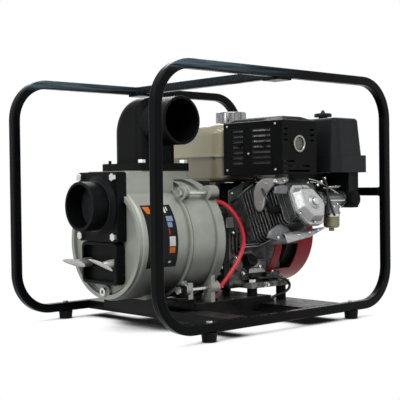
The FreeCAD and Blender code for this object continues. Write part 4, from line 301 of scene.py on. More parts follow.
def rubber():
    paint = Finish("black_rubber", 0.005, 0.6, specular=0.1)
    paint.tone(0.3, 12, 3)
    paint.bump(0.06, 0.9, 3)
    return paint.dusty((0.05, 0.048, 0.044), 0.35)


def zinc_steel():
    paint = Finish("zinc_steel", (0.62, 0.62, 0.6), 0.24, 1.0)
    paint.tone(0.12, 5, 2)
    paint.gloss(0.07, 2.5, 2)
    paint.bump(0.04, 0.8, 3)
    # Painted shade in the crevices.
    paint.crevice_shade(4, 0.05, 0.8)
    return paint.edge_wear_and_highlight(0.5, (0.8, 0.8, 0.78), 0.25)


def pump_alloy():
    paint = Finish("pump_cast_alloy", (0.40, 0.42, 0.37), 0.42, 0.2, 0.35)
    paint.tone(0.08, 55, 5)
    paint.gloss(0.07, 9)
    paint.bump(0.14, 1.5)
    paint.bump(0.2, 28, 2)
    paint.stains((0.22, 0.21, 0.18), 0.28, 70, 0.5, 0.75)
    # Painted shade: darker on faces that look down and where other faces stand near.
    paint.shade_below((0.035, 0.034, 0.032), 0.92, -0.1)
    paint.crevice_shade(16, (0.05, 0.048, 0.044), 0.8, 0.3, 0.75)
    return paint.edge_wear_and_highlight(1, (0.60, 0.59, 0.54), 0.4)


def black_casting():
    paint = Finish("black_cast_iron", (0.0032, 0.0034, 0.0040), 0.4, specular=0.08)
    paint.tone(0.2, 40, 3)
    paint.gloss(0.09, 7)
    paint.bump(0.22, 1.3)
    return paint.edge_wear_and_highlight(1, (0.035, 0.036, 0.038))


def bright_casting():
    paint = Finish("bright_casting", (0.50, 0.50, 0.48), 0.36, 0.5)
    paint.tone(0.14, 7)
    paint.bump(0.18, 1.2)
    # Painted shade on faces that look down.
    paint.shade_below((0.16, 0.16, 0.15), 0.7)
    return paint.edge_wear_and_highlight(1, (0.8, 0.8, 0.77), 0.6)


def engine_alloy():
    paint = Finish("engine_die_cast", (0.40, 0.405, 0.405), 0.38, 0.6)
    paint.tone(0.16, 20)
    paint.gloss(0.09, 5)
    paint.bump(0.14, 1.1)
    paint.stains((0.10, 0.095, 0.09), 0.4, 35, 0.48, 0.72)
    # Painted shade: darker on faces that look down and in crevices.
    paint.shade_below(0.03, 0.6)
    paint.crevice_shade(12, 0.006, 0.97, 0.32, 0.72)
    return paint.edge_wear_and_highlight(0.7, (0.74, 0.74, 0.73), 0.7)


def case_alloy():
    """The crankcase: dull, with dark oil stains, painted shade in its corners and underneath, and
    a lighter foot.
    """
    paint = Finish("crankcase_alloy", (0.125, 0.13, 0.126), 0.42, 0.4, 0.22)
    paint.tone(0.5, 11, 5)
    paint.gloss(0.1, 5)
    paint.bump(0.2, 1.1)
    paint.bump(0.5, 6, 3)
    bottom = low("crankcase").z
    paint.over(paint.along("Z", bottom + 22, bottom + 12), (0.30, 0.30, 0.285))
    paint.stains((0.022, 0.021, 0.02), 0.85, 20, 0.45, 0.66)
    # Painted shade: darker on faces that look down and in its corners.
    paint.shade_below(0.015, 0.6)
    paint.crevice_shade(26, 0.004, 0.97, 0.4, 0.8)
    return paint.edge_wear_and_highlight(0.8, (0.5, 0.5, 0.49), 0.8, least=0.15)


def fin_alloy():
    """Fins with painted shade, dark in their gaps and on their flanks, and painted highlights
    along the rims.
    """
    paint = Finish("fin_alloy", (0.10, 0.102, 0.103), 0.38, 0.6, 0.25)
    paint.tone(0.4, 16)
    paint.gloss(0.1, 5)
    paint.bump(0.14, 1.1)
    # Painted shade in the gaps; the bright rims below are painted highlights.
    paint.crevice_shade(9, 0.003, 0.98, 0.35, 0.8)
    return paint.edge_wear_and_highlight(1.1, (0.66, 0.665, 0.66), 1.0, 12, 0.5)


def guide_alloy():
    """The cast and pressed air guides beside and below the head, with painted shade underneath
    and in corners.
    """
    paint = Finish("guide_alloy", (0.40, 0.405, 0.40), 0.36, 0.5)
    paint.tone(0.22, 12, 5)
    paint.gloss(0.1, 5)
    paint.bump(0.2, 1.4)
    paint.stains((0.12, 0.125, 0.13), 0.6, 14, 0.5, 0.7)
    # Painted shade: darker on faces that look down and in corners.
    paint.shade_below(0.06, 0.8)
    paint.crevice_shade(8, 0.01, 0.95)
    return paint.edge_wear_and_highlight(1, 0.7, 0.8)


def cover_painted_shade():
    """The case's pump-side cover: near black as painted shade, since it sits in shadow behind the
    adapter.
    """
    paint = Finish("case_cover_painted_shade", (0.012, 0.0125, 0.0135), 0.5, specular=0.2)
    paint.tone(0.3, 12)
    paint.bump(0.15, 1.2)
    return paint.edge_wear_and_highlight(0.8, 0.10)


def carb_alloy():
    """The carburettor: grey zinc body above, a yellow-passivated bowl below."""
    paint = Finish("carburettor_alloy", (0.30, 0.31, 0.31), 0.36, 0.6)
    paint.tone(0.25, 6)
    patchy = paint.ramp(paint.noise(9), (0.4, (0.30, 0.27, 0.13)), (0.6, (0.19, 0.20, 0.13)))
    joint = low("carburettor").z + 42
    paint.over(paint.along("Z", joint + 4, joint), patchy)
    paint.bump(0.14, 1)
    # Painted shade in the crevices.
    paint.crevice_shade(9, 0.008, 0.9, 0.35, 0.8)
    return paint.edge_wear_and_highlight(0.6, (0.7, 0.7, 0.66), 0.7)


def cast_iron():
    paint = Finish("cast_iron_inside", (0.09, 0.088, 0.085), 0.55, 0.6)
    paint.tone(0.25, 14)
    paint.bump(0.2, 1.4)
    return paint.edge_wear_and_highlight(0.6, (0.3, 0.3, 0.29))


def pressed_steel():
    paint = Finish("pressed_silver", (0.50, 0.505, 0.50), 0.33, 0.6)
    paint.tone(0.12, 9, 5)
    paint.gloss(0.08, 6)
    paint.bump(0.12, 1, 3)
    # Painted shade: darker on faces that look down and in crevices.
    paint.shade_below(0.12, 0.75)
    paint.crevice_shade(7, 0.03, 0.85, 0.4)
    return paint.edge_wear_and_highlight(0.9, (0.78, 0.78, 0.77), 0.6)


def exhaust_steel():
    paint = Finish("heat_tinted_steel", (0.07, 0.065, 0.06), 0.4, 0.8)
    tint = paint.ramp(paint.noise(28), (0.3, (0.05, 0.048, 0.046)),
                      (0.5, (0.085, 0.07, 0.05)), (0.68, (0.055, 0.046, 0.05)))
    paint.over(1.0, tint)
    paint.gloss(0.1, 6)
    paint.bump(0.1, 1.3)
    paint.edges(0.6)
    return paint


def guard_paint():
    paint = Finish("guard_black_paint", (0.0034, 0.0036, 0.004), 0.5, specular=0.07)
    paint.tone(0.2, 25, 3)
    paint.gloss(0.08, 10)
    paint.bump(0.05, 1.2, 2)
    return paint.edge_wear_and_highlight(0.7, (0.14, 0.14, 0.145), 0.8, 7, 0.15)


def tank_paint():
    """Cream paint under a clear coat, with painted shade on the tank's lower half and on faces
    that look down.
    """
    paint = Finish("tank_cream_paint", (0.40, 0.365, 0.25), 0.2, specular=0.4)
    paint.value("Coat Weight", 0.4)
    paint.value("Coat Roughness", 0.08)
    paint.tone(0.035, 90, 3)
    paint.gloss(0.04, 30, 3)
    paint.bump(0.03, 4, 2)
    # Painted shade: the lower half and faces that look down are darker.
    bottom = low("fuel_tank").z
    paint.over(paint.along("Z", bottom + 66, bottom + 58), (0.255, 0.225, 0.145))
    paint.shade_below((0.13, 0.11, 0.075), 0.75, -0.05)
    paint.edge_wear_and_highlight(1, (0.62, 0.60, 0.5))
    return paint.dusty((0.5, 0.47, 0.4), 0.12)


def chrome():
    paint = Finish("chrome_plate", (0.26, 0.26, 0.27), 0.14, 1.0)
    paint.gloss(0.05, 5)
    paint.tone(0.3, 9, 3)
    # Painted shade in the crevices.
    paint.crevice_shade(3, 0.03, 0.9, 0.4, 0.9)
    return paint.edge_wear_and_highlight(0.6, 0.8, 0.8)


def black_plastic():
    paint = Finish("black_plastic", (0.0095, 0.0108, 0.0118), 0.42, specular=0.17)
    paint.tone(0.16, 50, 3)
    paint.gloss(0.05, 12, 3)
    paint.bump(0.07, 0.8, 2)
    paint.edges(1.2)
    return paint.dusty(0.04, 0.18)


def red_paint():
    paint = Finish("fan_cover_red_paint", (0.46, 0.028, 0.032), 0.32, specular=0.16)
    paint.tone(0.14, 30)
    paint.gloss(0.06, 14, 3)
    paint.bump(0.06, 2, 2)
    # Painted shade in the crevices.
    paint.crevice_shade(20, (0.03, 0.003, 0.004), 0.9, 0.35, 0.8)
    return paint.edge_wear_and_highlight(0.9, (0.62, 0.10, 0.10))


def red_rubber():
    paint = Finish("cable_red_jacket", (0.78, 0.035, 0.055), 0.36)
    paint.tone(0.1, 18, 3)
    return paint.bump(0.04, 1, 2)


def hose_rubber():
    paint = Finish("hose_black_rubber", 0.010, 0.3)
    paint.tone(0.2, 9, 3)
    return paint.bump(0.05, 0.8, 2)


def filter_paper():
    paint = Finish("filter_paper", (0.62, 0.55, 0.36), 0.85)
    paint.tone(0.1, 3)
    return paint.bump(0.1, 0.7, 3)


def seal_ceramic():
    paint = Finish("seal_ceramic", (0.62, 0.58, 0.5), 0.3)
    return paint.tone(0.05, 6, 3)


def steel():
    paint = Finish("ground_steel", (0.5, 0.5, 0.49), 0.25, 1.0)
    paint.tone(0.12, 10, 3, paint.stretched((8, 1, 1)))
    return paint.bump(0.02, 0.6, 2, paint.stretched((4, 1, 1)))


def vinyl(name, color, rough=0.34):
    paint = Finish(name, color, rough, specular=0.14)
    paint.tone(0.12, 5)
    paint.bump(0.03, 3, 2)
    return paint.material


SLOT_FINISH = {maker.__name__: maker for maker in (
    frame_paint, sheet_paint, rubber, zinc_steel, pump_alloy, black_casting, bright_casting,
    cast_iron, steel, seal_ceramic, engine_alloy, pressed_steel, exhaust_steel, guard_paint,
    tank_paint, chrome, black_plastic, filter_paper, red_paint, red_rubber, hose_rubber)}
SLOT_FINISH["gasket_rubber"] = rubber
NODE_FINISH = {
    "carburettor": carb_alloy, "crankcase": case_alloy, "crankcase_cover": cover_painted_shade,
    "cylinder_barrel": fin_alloy, "cylinder_head": fin_alloy}
LOOK = {}


def look(maker):
    """The material that a maker gives, made once."""
    if maker not in LOOK:
        LOOK[maker] = maker().material
    return LOOK[maker]


def dress_nodes():
    """Every CAD node gets its slot's finish, or a variant of it that is its own."""
    for part in frame["record"]["subparts"]:
        name = part["node"]
        maker = NODE_FINISH.get(name, SLOT_FINISH[part["material_slot"]])
        materials = frame["nodes"][name].data.materials
        materials.clear()
        materials.append(look(maker))


# ---------------- mesh helpers

def smooth_by_angle(obj, degrees):
    mesh = obj.data
    work = bmesh.new()
    work.from_mesh(mesh)
    for face in work.faces:
        face.smooth = True
    for edge in work.edges:
        if len(edge.link_faces) == 2:
            edge.smooth = edge.calc_face_angle() < radians(degrees)
    work.to_mesh(mesh)
    work.free()


def piece(name, points, faces, slot, finish=None, body="root", degrees=32):
    """A mesh that rides on a body, in its slot's finish unless it has one of its own."""
    mesh = bpy.data.meshes.new(name)
    mesh.from_pydata(mm(*points), [], faces)
    mesh.validate()
    mesh.materials.append(finish or look(SLOT_FINISH[slot]))
    obj = placed(name, mesh)
    smooth_by_angle(obj, degrees)
    if body:
        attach(obj, body)
    return obj


def rounded(obj, width):
    """Rounds a piece's sharp edges."""
    edge = obj.modifiers.new("edge", "BEVEL")
    edge.width = width * MM
    edge.segments = 2
    edge.limit_method = "ANGLE"


def softened(obj, levels):
    """Rounds a piece all over."""
    smooth = obj.modifiers.new("smooth", "SUBSURF")
    smooth.levels = smooth.render_levels = levels


def frame_about(axis):
    """The unit vector along axis and two across it."""
    along = Vector(axis).normalized()
    helper = Vector((0, 0, 1)) if abs(along.z) < 0.9 else Vector((1, 0, 0))
    across = along.cross(helper).normalized()
    return along, across, along.cross(across)


def ring_faces(rings, count, caps=True):
    """Faces between rings of count points each; caps close the first and last ring."""
    faces = []
    for start in range(0, (rings - 1) * count, count):
        for at in range(count):
            a = start + at
            b = start + (at + 1) % count
            faces.append((a, b, b + count, a + count))
    if caps:
        faces.append(tuple(reversed(range(count))))
        faces.append(tuple(range((rings - 1) * count, rings * count)))
    return faces


def grid_faces(rows, columns):
    """Faces of a sheet of rows by columns cells, whose points come row by row."""
    faces = []
    for row in range(rows):
        for column in range(columns):
            a = row * (columns + 1) + column
            faces.append((a, a + 1, a + columns + 2, a + columns + 1))
    return faces


def lathe_mesh(profile, origin, axis, sides=48, caps=True):
    """Points and faces of (radius, distance along axis) pairs turned about the axis."""
    along, first, second = frame_about(axis)
    points = []
    for radius, reach in profile:
        for turn in range(sides):
            angle = 2 * pi * turn / sides
            spoke = first * cos(angle) + second * sin(angle)
            points.append(Vector(origin) + along * reach + spoke * radius)
    return points, ring_faces(len(profile), sides, caps)


def open_lathe(name, profile, origin, axis, slot, finish=None, body="root", sides=48):
    points, faces = lathe_mesh(profile, origin, axis, sides, caps=False)
    return piece(name, points, faces, slot, finish, body)


def wire(name, route, radius, slot, resolution=6):
    """A round wire, rod or hose along a smooth line through a few points, in metres."""
    curve = bpy.data.curves.new(name, "CURVE")
    curve.dimensions = "3D"
    curve.bevel_depth = radius
    curve.bevel_resolution = resolution
    curve.resolution_u = 12
    curve.use_fill_caps = True
    spline = curve.splines.new("NURBS")
    spline.points.add(len(route) - 1)
    for point, place in zip(spline.points, route):
        point.co = (*place, 1)
    spline.order_u = 3
    spline.use_endpoint_u = True
    obj = placed(name, curve)
    curve.materials.append(look(SLOT_FINISH[slot]))
    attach(obj, "root")
    return obj


class Lump:
    """Several closed forms gathered into one mesh piece."""

    def __init__(self):
        self.points = []
        self.faces = []

    def add(self, points, faces):
        start = len(self.points)
        self.points += points
        self.faces += [tuple(start + corner for corner in face) for face in faces]

    def block(self, lowest, highest, draft=0):
        """A box whose top is drawn in by draft."""
        (x0, y0, z0), (x1, y1, z1) = lowest, highest
        points = []
        for inset, z in ((0, z0), (draft, z1)):
            points += [(x0 + inset, y0 + inset, z), (x1 - inset, y0 + inset, z),
                       (x1 - inset, y1 - inset, z), (x0 + inset, y1 - inset, z)]
        self.add(points, ring_faces(2, 4))

    def turned(self, profile, origin, axis, sides=24):
        """A closed form turned about an axis."""
        self.add(*lathe_mesh(profile, origin, axis, sides))

    def bar(self, start, end, radius, sides=8):
        """A straight round bar between two points, with small chamfers."""
        way = Vector(end) - Vector(start)
        profile = [(radius * 0.7, 0), (radius, radius * 0.3),
                   (radius, way.length - radius * 0.3), (radius * 0.7, way.length)]
        self.turned(profile, start, way, sides)

    def hexagon(self, place, axis, radius, height):
        """A washer, and a six-sided head with a chamfered top."""
        self.turned([(radius * 1.25, 0), (radius * 1.25, WASHER)], place, axis)
        self.turned([(radius, WASHER), (radius, height * 0.85), (radius * 0.8, height)],
                    place, axis, 6)

    def dome(self, place, axis, radius, height):
        """A round screw head."""
        self.turned([(radius, 0), (radius, height * 0.35), (radius * 0.85, height * 0.75),
                     (radius * 0.5, height * 0.95), (0.01, height)], place, axis)

    def made(self, name, slot="zinc_steel", finish=None, body="root", bevel=0):
        obj = piece(name, self.points, self.faces, slot, finish, body)
        if bevel:
            rounded(obj, bevel)
        return obj


WASHER = 1.2


def pillow(name, y, outline, thick, finish, slot, inset, smooth=False):
    """A cast pad: an outline of x and z at y, raised to the near side and drawn in there."""
    outline = [Vector((x, y, z)) for x, z in outline]
    centre = sum(outline, Vector()) / len(outline)
    points = []
    for rise, scale in ((0, 1), (0.55, 1), (0.9, 1 - inset * 0.4), (1, 1 - inset)):
        for point in outline:
            points.append(centre + (point - centre) * scale + Vector(TO_NEAR) * thick * rise)
    pad = piece(name, points, ring_faces(4, len(outline)), slot, look(finish), degrees=50)
    if smooth:
        softened(pad, 1)
    else:
        rounded(pad, 1.2)


# ---------------- cords

CABLE_ROUTE = mm((-65, -102, 303), (-46, -102, 303), (-22, -108, 289), (0, -114, 264),
                 (17, -116, 234), (23, -117, 205), (15, -117, 176), (-4, -117, 149),
                 (-29, -115, 121), (-46, -111, 102), (-58, -106, 88), (-65, -101, 77.2),
                 (-65, -101, 66.2))
HOSE_ROUTE = mm((75, -96, 105), (75, -106, 105), (80, -118, 105.5), (94, -126, 106),
                (117, -129, 106), (144, -128, 103), (166, -128, 96), (180, -128, 84),
                (178, -127, 71), (162, -125, 63), (143, -121, 58), (131, -117, 54.5),
                (126, -115, 50.2), (126, -115, 46.2))


def cords():
    cable = wire("red_cable", CABLE_ROUTE, 5.5 * MM, "red_rubber", 10)
    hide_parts("starter_cable")
    hose = wire("oil_drain_hose", HOSE_ROUTE, 3.5 * MM, "hose_rubber", 10)
    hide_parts("drain_hose")


# ---------------- label

DRUM_RADIUS = 137


def casing_patch(name, first_x, last_x, top, bottom, lift, finish, lean=0):
    """A thin sticker on the drum between two angles, in degrees up from the near side."""
    radius = DRUM_RADIUS + lift
    columns, rows = 10, 36
    points = []
    for row in range(rows + 1):
        angle = radians(top + (bottom - top) * row / rows)
        start = first_x + lean * row / rows
        for column in range(columns + 1):
            x = start + (last_x - start) * column / columns
            points.append((x, -radius * cos(angle), AXIS_Z + radius * sin(angle)))
    faces = [face[::-1] for face in grid_faces(rows, columns)]
    piece("label_" + name, points, faces, "pump_alloy", finish)


def label():
    """A plain printed band on the drum, with blocks of colour and no words."""
    black = vinyl("label_black", (0.005, 0.005, 0.0055), 0.3)
    orange = vinyl("label_orange", (0.72, 0.16, 0.02))
    blue = vinyl("label_pale_blue", (0.24, 0.32, 0.48))
    red = vinyl("label_red", (0.5, 0.03, 0.02))
    white = vinyl("label_white", 0.72)
    casing_patch("band", -303, -214, 40, -24, 0.15, black)
    casing_patch("wedge", -300, -280, 38, 30, 0.3, orange, 8)
    for name, color, first, last, top, bottom in (
            ("tick", white, -240, -234, 37.5, 30.5), ("tick_two", white, -231, -227, 37.5, 33),
            ("blue", blue, -240, -221, 27, 21.5), ("blue_two", blue, -240, -226, 20.5, 15.5),
            ("stripe", red, -240, -236, 14, 8.5), ("white", white, -240, -222, 6.5, -3.0),
            ("orange", orange, -240, -223, -4, -9.5), ("foot", white, -240, -232, -17.5, -19.5)):
        casing_patch(name + "_block", first, last, top, bottom, 0.3, color)


# ---------------- pump and frame trim

WELD_DROPS = 40


def weld_beads():
    """A rippled bead round each end of the two cross bars."""
    half = (high("rear_cross_bar").x - low("rear_cross_bar").x) / 2
    loop = high("near_side_loop")
    for bar in ("top_cross_bar", "rear_cross_bar"):
        rise = high(bar).z - half
        for side, mark in ((-1, "near"), (1, "far")):
            bead = Lump()
            y = side * (high("rear_cross_bar").y - 1.2)
            for at in range(WELD_DROPS):
                turn = 2 * pi * at / WELD_DROPS
                reach = half / max(abs(cos(turn)), abs(sin(turn)))
                reach = min(reach, half * 1.25)
                size = 2.1 * (1 + 0.22 * random.uniform(-1, 1))
                x = min(middle(bar).x + reach * cos(turn), loop.x - size)
                z = min(rise + reach * sin(turn), loop.z - size)
                bead.turned([(size * 0.5, -size * 0.8), (size * 0.95, -size * 0.3),
                             (size * 0.95, size * 0.3), (size * 0.5, size * 0.8)],
                            (x, y, z), (0, 1, 0), 8)
            bead.made("weld_%s_%s" % (bar.split("_")[0], mark), "frame_paint")


def rubbed_black():
    paint = Finish("rubbed_black_paint", (0.03, 0.031, 0.033), 0.3, specular=0.3)
    paint.tone(0.4, 9)
    return paint.bump(0.1, 1.2, 3)


def collar_rings():
    """Turned rings on the suction tube's collar."""
    rings = Lump()
    for x, radius in ((-352.4, 60.8), (-350.5, 62.3), (-345.5, 66)):
        rings.turned([(radius - 0.6, 0), (radius, -0.5), (radius, 1.5)],
                     (x, 0, AXIS_Z + 87), (1, 0, 0), 64)
    rings.made("suction_collar_rings", "black_casting", look(rubbed_black))


def casing_ridges():
    """Two turned ridges on the casing's front, inside its rim, below the tower."""
    face = low("pump_casing").x + 8
    ridge = Lump()
    steps = 48
    for radius in (123.5, 117.5):
        points = []
        for at in range(steps + 1):
            angle = radians(48 - 200 * at / steps)
            for spread, rise in ((-1.9, -1), (-1.0, 2.2), (1.0, 2.2), (1.9, -1)):
                reach = radius + spread
                points.append((face - rise, -reach * cos(angle),
                               AXIS_Z + reach * sin(angle)))
        ridge.add(points, ring_faces(steps + 1, 4))
    ridge.made("casing_ridges", "pump_alloy")


STUD_RADIUS = 5
BLADE_REACH = 46


def wing_knob(side, drop, half_height, reach):
    """A cast wing nut: a swept blade across a cone hub, on the cover's stud."""
    mark = "near" if side < 0 else "far"
    studs = middle("cleanout_studs")
    across = (high("cleanout_studs").y - low("cleanout_studs").y) / 2 - STUD_RADIUS
    hub = Vector((low("cleanout_cover").x + 13, side * across, studs.z))
    knob = Lump()
    knob.turned([(11, 0), (12, 2), (10, reach * 0.5), (7.5, reach * 0.85), (4, reach)],
                hub, TO_PUMP, 28)
    sections, sides = 22, 14
    points = []
    for section in range(sections + 1):
        share = -1 + 2 * section / sections
        tall = half_height * (1 - 0.62 * abs(share) ** 1.6) * sqrt(max(0.02, 1 - share ** 10))
        centre = Vector((hub.x - reach + 3 - 7 * share ** 2, hub.y + BLADE_REACH * share,
                         hub.z + BLADE_REACH * share * tan(drop)))
        for at in range(sides):
            angle = 2 * pi * at / sides
            points.append(centre + Vector((tall * 0.42 * cos(angle), 0,
                                           tall * sin(angle))))
    knob.add(points, ring_faces(sections + 1, sides))
    made = knob.made(mark + "_wing_blade", "bright_casting", body=mark + "_knob")
    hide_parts(mark + "_wing_knob")


# ---------------- guard trim

ROOF_RISE = 12
GUARD_FACE = low("muffler_guard").x + 4
GUARD_NEAR = low("muffler_guard").y
GUARD_TOP = high("muffler_guard").z - ROOF_RISE
GUARD_WIDTH = high("muffler_guard").y - GUARD_NEAR
SLOT_PITCH = 13.5
SLOT_TOP = GUARD_TOP - SLOT_PITCH * 1.6


def shield_steel():
    """Painted light: bright near the top of the guard, where light falls in, and dark below as
    painted shade.
    """
    paint = Finish("shield_steel", 0.10, 0.4, 0.35)
    paint.tone(0.4, 9)
    lit_height = paint.along("Z", GUARD_TOP - 85, GUARD_TOP - 25)
    near = paint.along("Y", GUARD_NEAR + GUARD_WIDTH * 0.75, GUARD_NEAR + GUARD_WIDTH * 0.4)
    return paint.over(paint.times(lit_height, near), 0.62)


def outlet_steel():
    paint = Finish("outlet_steel", (0.34, 0.33, 0.31), 0.35, 0.9)
    paint.tone(0.25, 7)
    paint.gloss(0.1, 4)
    paint.edges(0.5)
    return paint


def guard_lips():
    """A bent lip over each louvre slot."""
    lips = Lump()
    for first, last in ((0.20, 0.51), (0.66, 0.86)):
        y0 = GUARD_NEAR + GUARD_WIDTH * first
        y1 = GUARD_NEAR + GUARD_WIDTH * last
        for row in range(7):
            top = SLOT_TOP - row * SLOT_PITCH + 4.5
            foot = top - 2.4
            lips.add([(GUARD_FACE, y0, top), (GUARD_FACE, y1, top),
                      (GUARD_FACE - 1.3, y0 + 1, foot), (GUARD_FACE - 1.3, y1 - 1, foot),
                      (GUARD_FACE, y0, foot), (GUARD_FACE, y1, foot)],
                     [(0, 1, 3, 2), (2, 3, 5, 4), (0, 2, 4), (1, 5, 3), (0, 4, 5, 1)])
    lips.made("guard_louvre_lips", "guard_paint")


def guard_inside():
    """A heat shield and bright clips behind the slots."""
    inner = Lump()
    for first, last in ((0.18, 0.53), (0.64, 0.88)):
        inner.block((GUARD_FACE + 3.4, GUARD_NEAR + GUARD_WIDTH * first, GUARD_TOP - 116),
                    (GUARD_FACE + 4.4, GUARD_NEAR + GUARD_WIDTH * last, GUARD_TOP - 16))
    # Its finish paints light near the shield's top and shade below it.
    inner.made("guard_inner_shield", "exhaust_steel", look(shield_steel))
    clips = Lump()
    behind = GUARD_FACE + 1.8
    for y, width, z0, z1 in ((-147, 12, 436, 482), (-186, 13, 452, 482)):
        clips.block((behind, y - width / 2, z0), (behind + 1, y + width / 2, z1))
    clips.made("guard_clips")


def guard_outside():
    """Ribs along the sloped roof, and the guard's screws."""
    ribs = Lump()
    x = GUARD_FACE + 5.04
    z = GUARD_TOP + 2.46
    for at in range(16):
        y = -54 - at * 7.4
        ribs.bar((x, y, z), (x + 14, y - 2, z + 6), 0.9, 6)
    ribs.made("guard_roof_ribs", "guard_paint")
    screws = Lump()
    for y, z in ((-124, 421), (-215, 380), (-215, 492), (-48, 380), (-48, 492)):
        screws.dome((GUARD_FACE, y, z), TO_PUMP, 3.2, 2.2)
    screws.made("guard_screws")


def muffler_outlet():
    """The outlet's rolled lip and the mesh across it."""
    outlet = Vector((GUARD_FACE + 58, low("muffler").y, GUARD_TOP - 57))
    lip = [(16.2, -8), (16.2, 1.2), (17.2, 2.6), (19.2, 3), (20.8, 2), (21, -1.5)]
    finish = look(outlet_steel)
    open_lathe("outlet_rolled_lip", lip, outlet, TO_NEAR, "exhaust_steel", finish)
    mesh = Lump()
    reach = 16
    for at in range(-4, 5):
        offset = at * 3.4
        span = sqrt(reach ** 2 - offset ** 2)
        level = Vector((0, 2, offset))
        upright = Vector((offset, 2.9, 0))
        mesh.bar(outlet + level - Vector((span, 0, 0)), outlet + level + Vector((span, 0, 0)),
                 0.6, 6)
        mesh.bar(outlet + upright - Vector((0, 0, span)), outlet + upright + Vector((0, 0, span)),
                 0.6, 6)
    mesh.made("spark_screen", "exhaust_steel", finish)


# ---------------- cylinder trim

TILT = radians(22)
CYLINDER_WAY = Vector((0, -cos(TILT), sin(TILT)))


def tilted(x, reach, across):
    """A point by its distance along the leaning cylinder and across it, upwards."""
    return Vector((x, across * sin(TILT) - reach * cos(TILT),
                   AXIS_Z + reach * sin(TILT) + across * cos(TILT)))


def rocker_trim():
    """The ring round the rocker cover's bolt and the six screws of its flange."""
    x = middle("valve_cover").x
    ring = [(12.5, -1), (12.9, 1.2), (14.5, 2.4), (16.5, 2.4), (18, 1.0), (18.6, -1)]
    open_lathe("rocker_cover_ring", ring, tilted(x, 276, -16), CYLINDER_WAY, "pressed_steel")
    heads = Lump()
    for turn in range(6):
        angle = radians(30 + 60 * turn)
        spot = tilted(x + 47 * cos(angle), 257, 46.5 * sin(angle) - 16)
        heads.hexagon(spot, CYLINDER_WAY, 3.4, 3.6)
    heads.made("rocker_flange_screws")


SIDE_GUIDE = [(203, 78), (228, 70), (250, 58), (245, 47), (217, 40), (199, 31), (187, 12),
              (176, 2), (163, 0), (155, 9), (154, 24), (157, 40), (164, 58), (176, 71)]
GUIDE_LEVELS = [(52, 0), (45, 0), (42.6, 2.2), (41.6, 5.5), (41.6, 9)]


def side_guide():
    """The cast guide beside the plug: a rounded plate with a raised rim."""
    centre = Vector((190, 40))
    points = []
    for x, inset in GUIDE_LEVELS:
        for spot in SIDE_GUIDE:
            toward = Vector(spot) - centre
            toward *= max(0.2, 1 - inset / toward.length)
            points.append(tilted(x, *(centre + toward)))
    faces = ring_faces(len(GUIDE_LEVELS), len(SIDE_GUIDE))
    guide = piece("side_guide", points, faces, "pressed_steel", look(bright_casting), degrees=60)
    softened(guide, 2)
    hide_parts("cylinder_shrouds")


GUIDE_CELLS = 26
GUIDE_BEND = 0.72


def lower_guide():
    """The stamped guide under the cylinder: a sheet with a dished middle and a lip."""
    start = 116
    level = -70.5
    points = []
    for row in range(GUIDE_CELLS + 1):
        v = row / GUIDE_CELLS
        for column in range(GUIDE_CELLS + 1):
            u = column / GUIDE_CELLS
            end = 203 + 29 * u
            if v < GUIDE_BEND:
                reach = start + (end - start) * v / GUIDE_BEND
                dish = sin(pi * u) * sin(pi * v / GUIDE_BEND)
                across = level - 3.5 * max(0.0, dish) ** 0.5
            else:
                bend = (v - GUIDE_BEND) / (1 - GUIDE_BEND)
                lip = 26 * (1 - 0.25 * min(1, u / 0.6) - max(0.0, u - 0.6) * 1.5)
                reach = end + 5 * sin(min(1.0, bend * 2.2) * pi / 2)
                across = level - lip * bend ** 1.3
            points.append(tilted(60 + 118 * u, reach, across))
    guide = piece("lower_guide", points, grid_faces(GUIDE_CELLS, GUIDE_CELLS), "pressed_steel",
                  look(guide_alloy), degrees=60)
    shell = guide.modifiers.new("sheet", "SOLIDIFY")
    shell.thickness = 2.6 * MM
    shell.offset = 0
    rounded(guide, 0.8)
    screws = Lump()
    for x, reach, across in ((98, 218, -80), (130, 226, -79), (158, 232, -76)):
        screws.dome(tilted(x, reach, across), CYLINDER_WAY, 4.2, 3.5)
    for reach, across in ((176, 22), (214, 58)):
        screws.dome(tilted(41.4, reach, across), TO_PUMP, 3, 2)
    screws.made("guide_screws")


def blue_alloy():
    paint = Finish("blue_grey_casting", (0.17, 0.178, 0.185), 0.4, 0.45)
    paint.tone(0.3, 8)
    paint.bump(0.2, 1.2)
    # Painted shade in the crevices.
    paint.crevice_shade(7, 0.01, 0.9)
    return paint.edge_wear_and_highlight(0.9, (0.55, 0.56, 0.57), 0.8)


def dark_green_grey():
    paint = Finish("shroud_green_grey", (0.055, 0.064, 0.056), 0.45, specular=0.2)
    paint.tone(0.3, 12)
    return paint.bump(0.1, 1.2, 3)


def head_pads():
    """Cast pads round the head: the exhaust flange, a lug and the guide's raised recess."""
    pillow("guide_recess", -206, ((9, 214), (16, 230), (41, 242), (63, 247), (81, 238),
                                  (96, 222), (92, 208), (44, 203)),
           9, blue_alloy, "pressed_steel", 0.22)
    pillow("exhaust_flange", -203, ((30, 347), (36, 359), (59, 363), (86, 363), (93, 354),
                                    (73, 342), (46, 340)),
           10, guide_alloy, "engine_alloy", 0.18, smooth=True)
    pillow("head_lug", -222, ((20, 321), (22, 338), (51, 343), (65, 337), (61, 319)),
           8, blue_alloy, "engine_alloy", 0.18)
    pillow("shroud_panel", -91, ((-7, 326), (36, 343), (76, 359), (110, 362), (108, 354),
                                 (46, 337), (24, 287), (-6, 288)),
           2, dark_green_grey, "pressed_steel", 0.04)
    rim = Lump()
    rim.bar((-7, -94, 327), (76, -94, 360.5), 1.3)
    rim.bar((76, -94, 360.5), (112, -94, 364), 1.3)
    for place in ((92, -92, 357), (6, -92, 322), (40, -211, 350), (66, -212, 353),
                  (40, -216, 214), (70, -216, 216)):
        rim.hexagon(place, TO_NEAR, 3.2, 4)
    rim.made("shroud_rim_and_screws")


# ---------------- carburettor and case trim

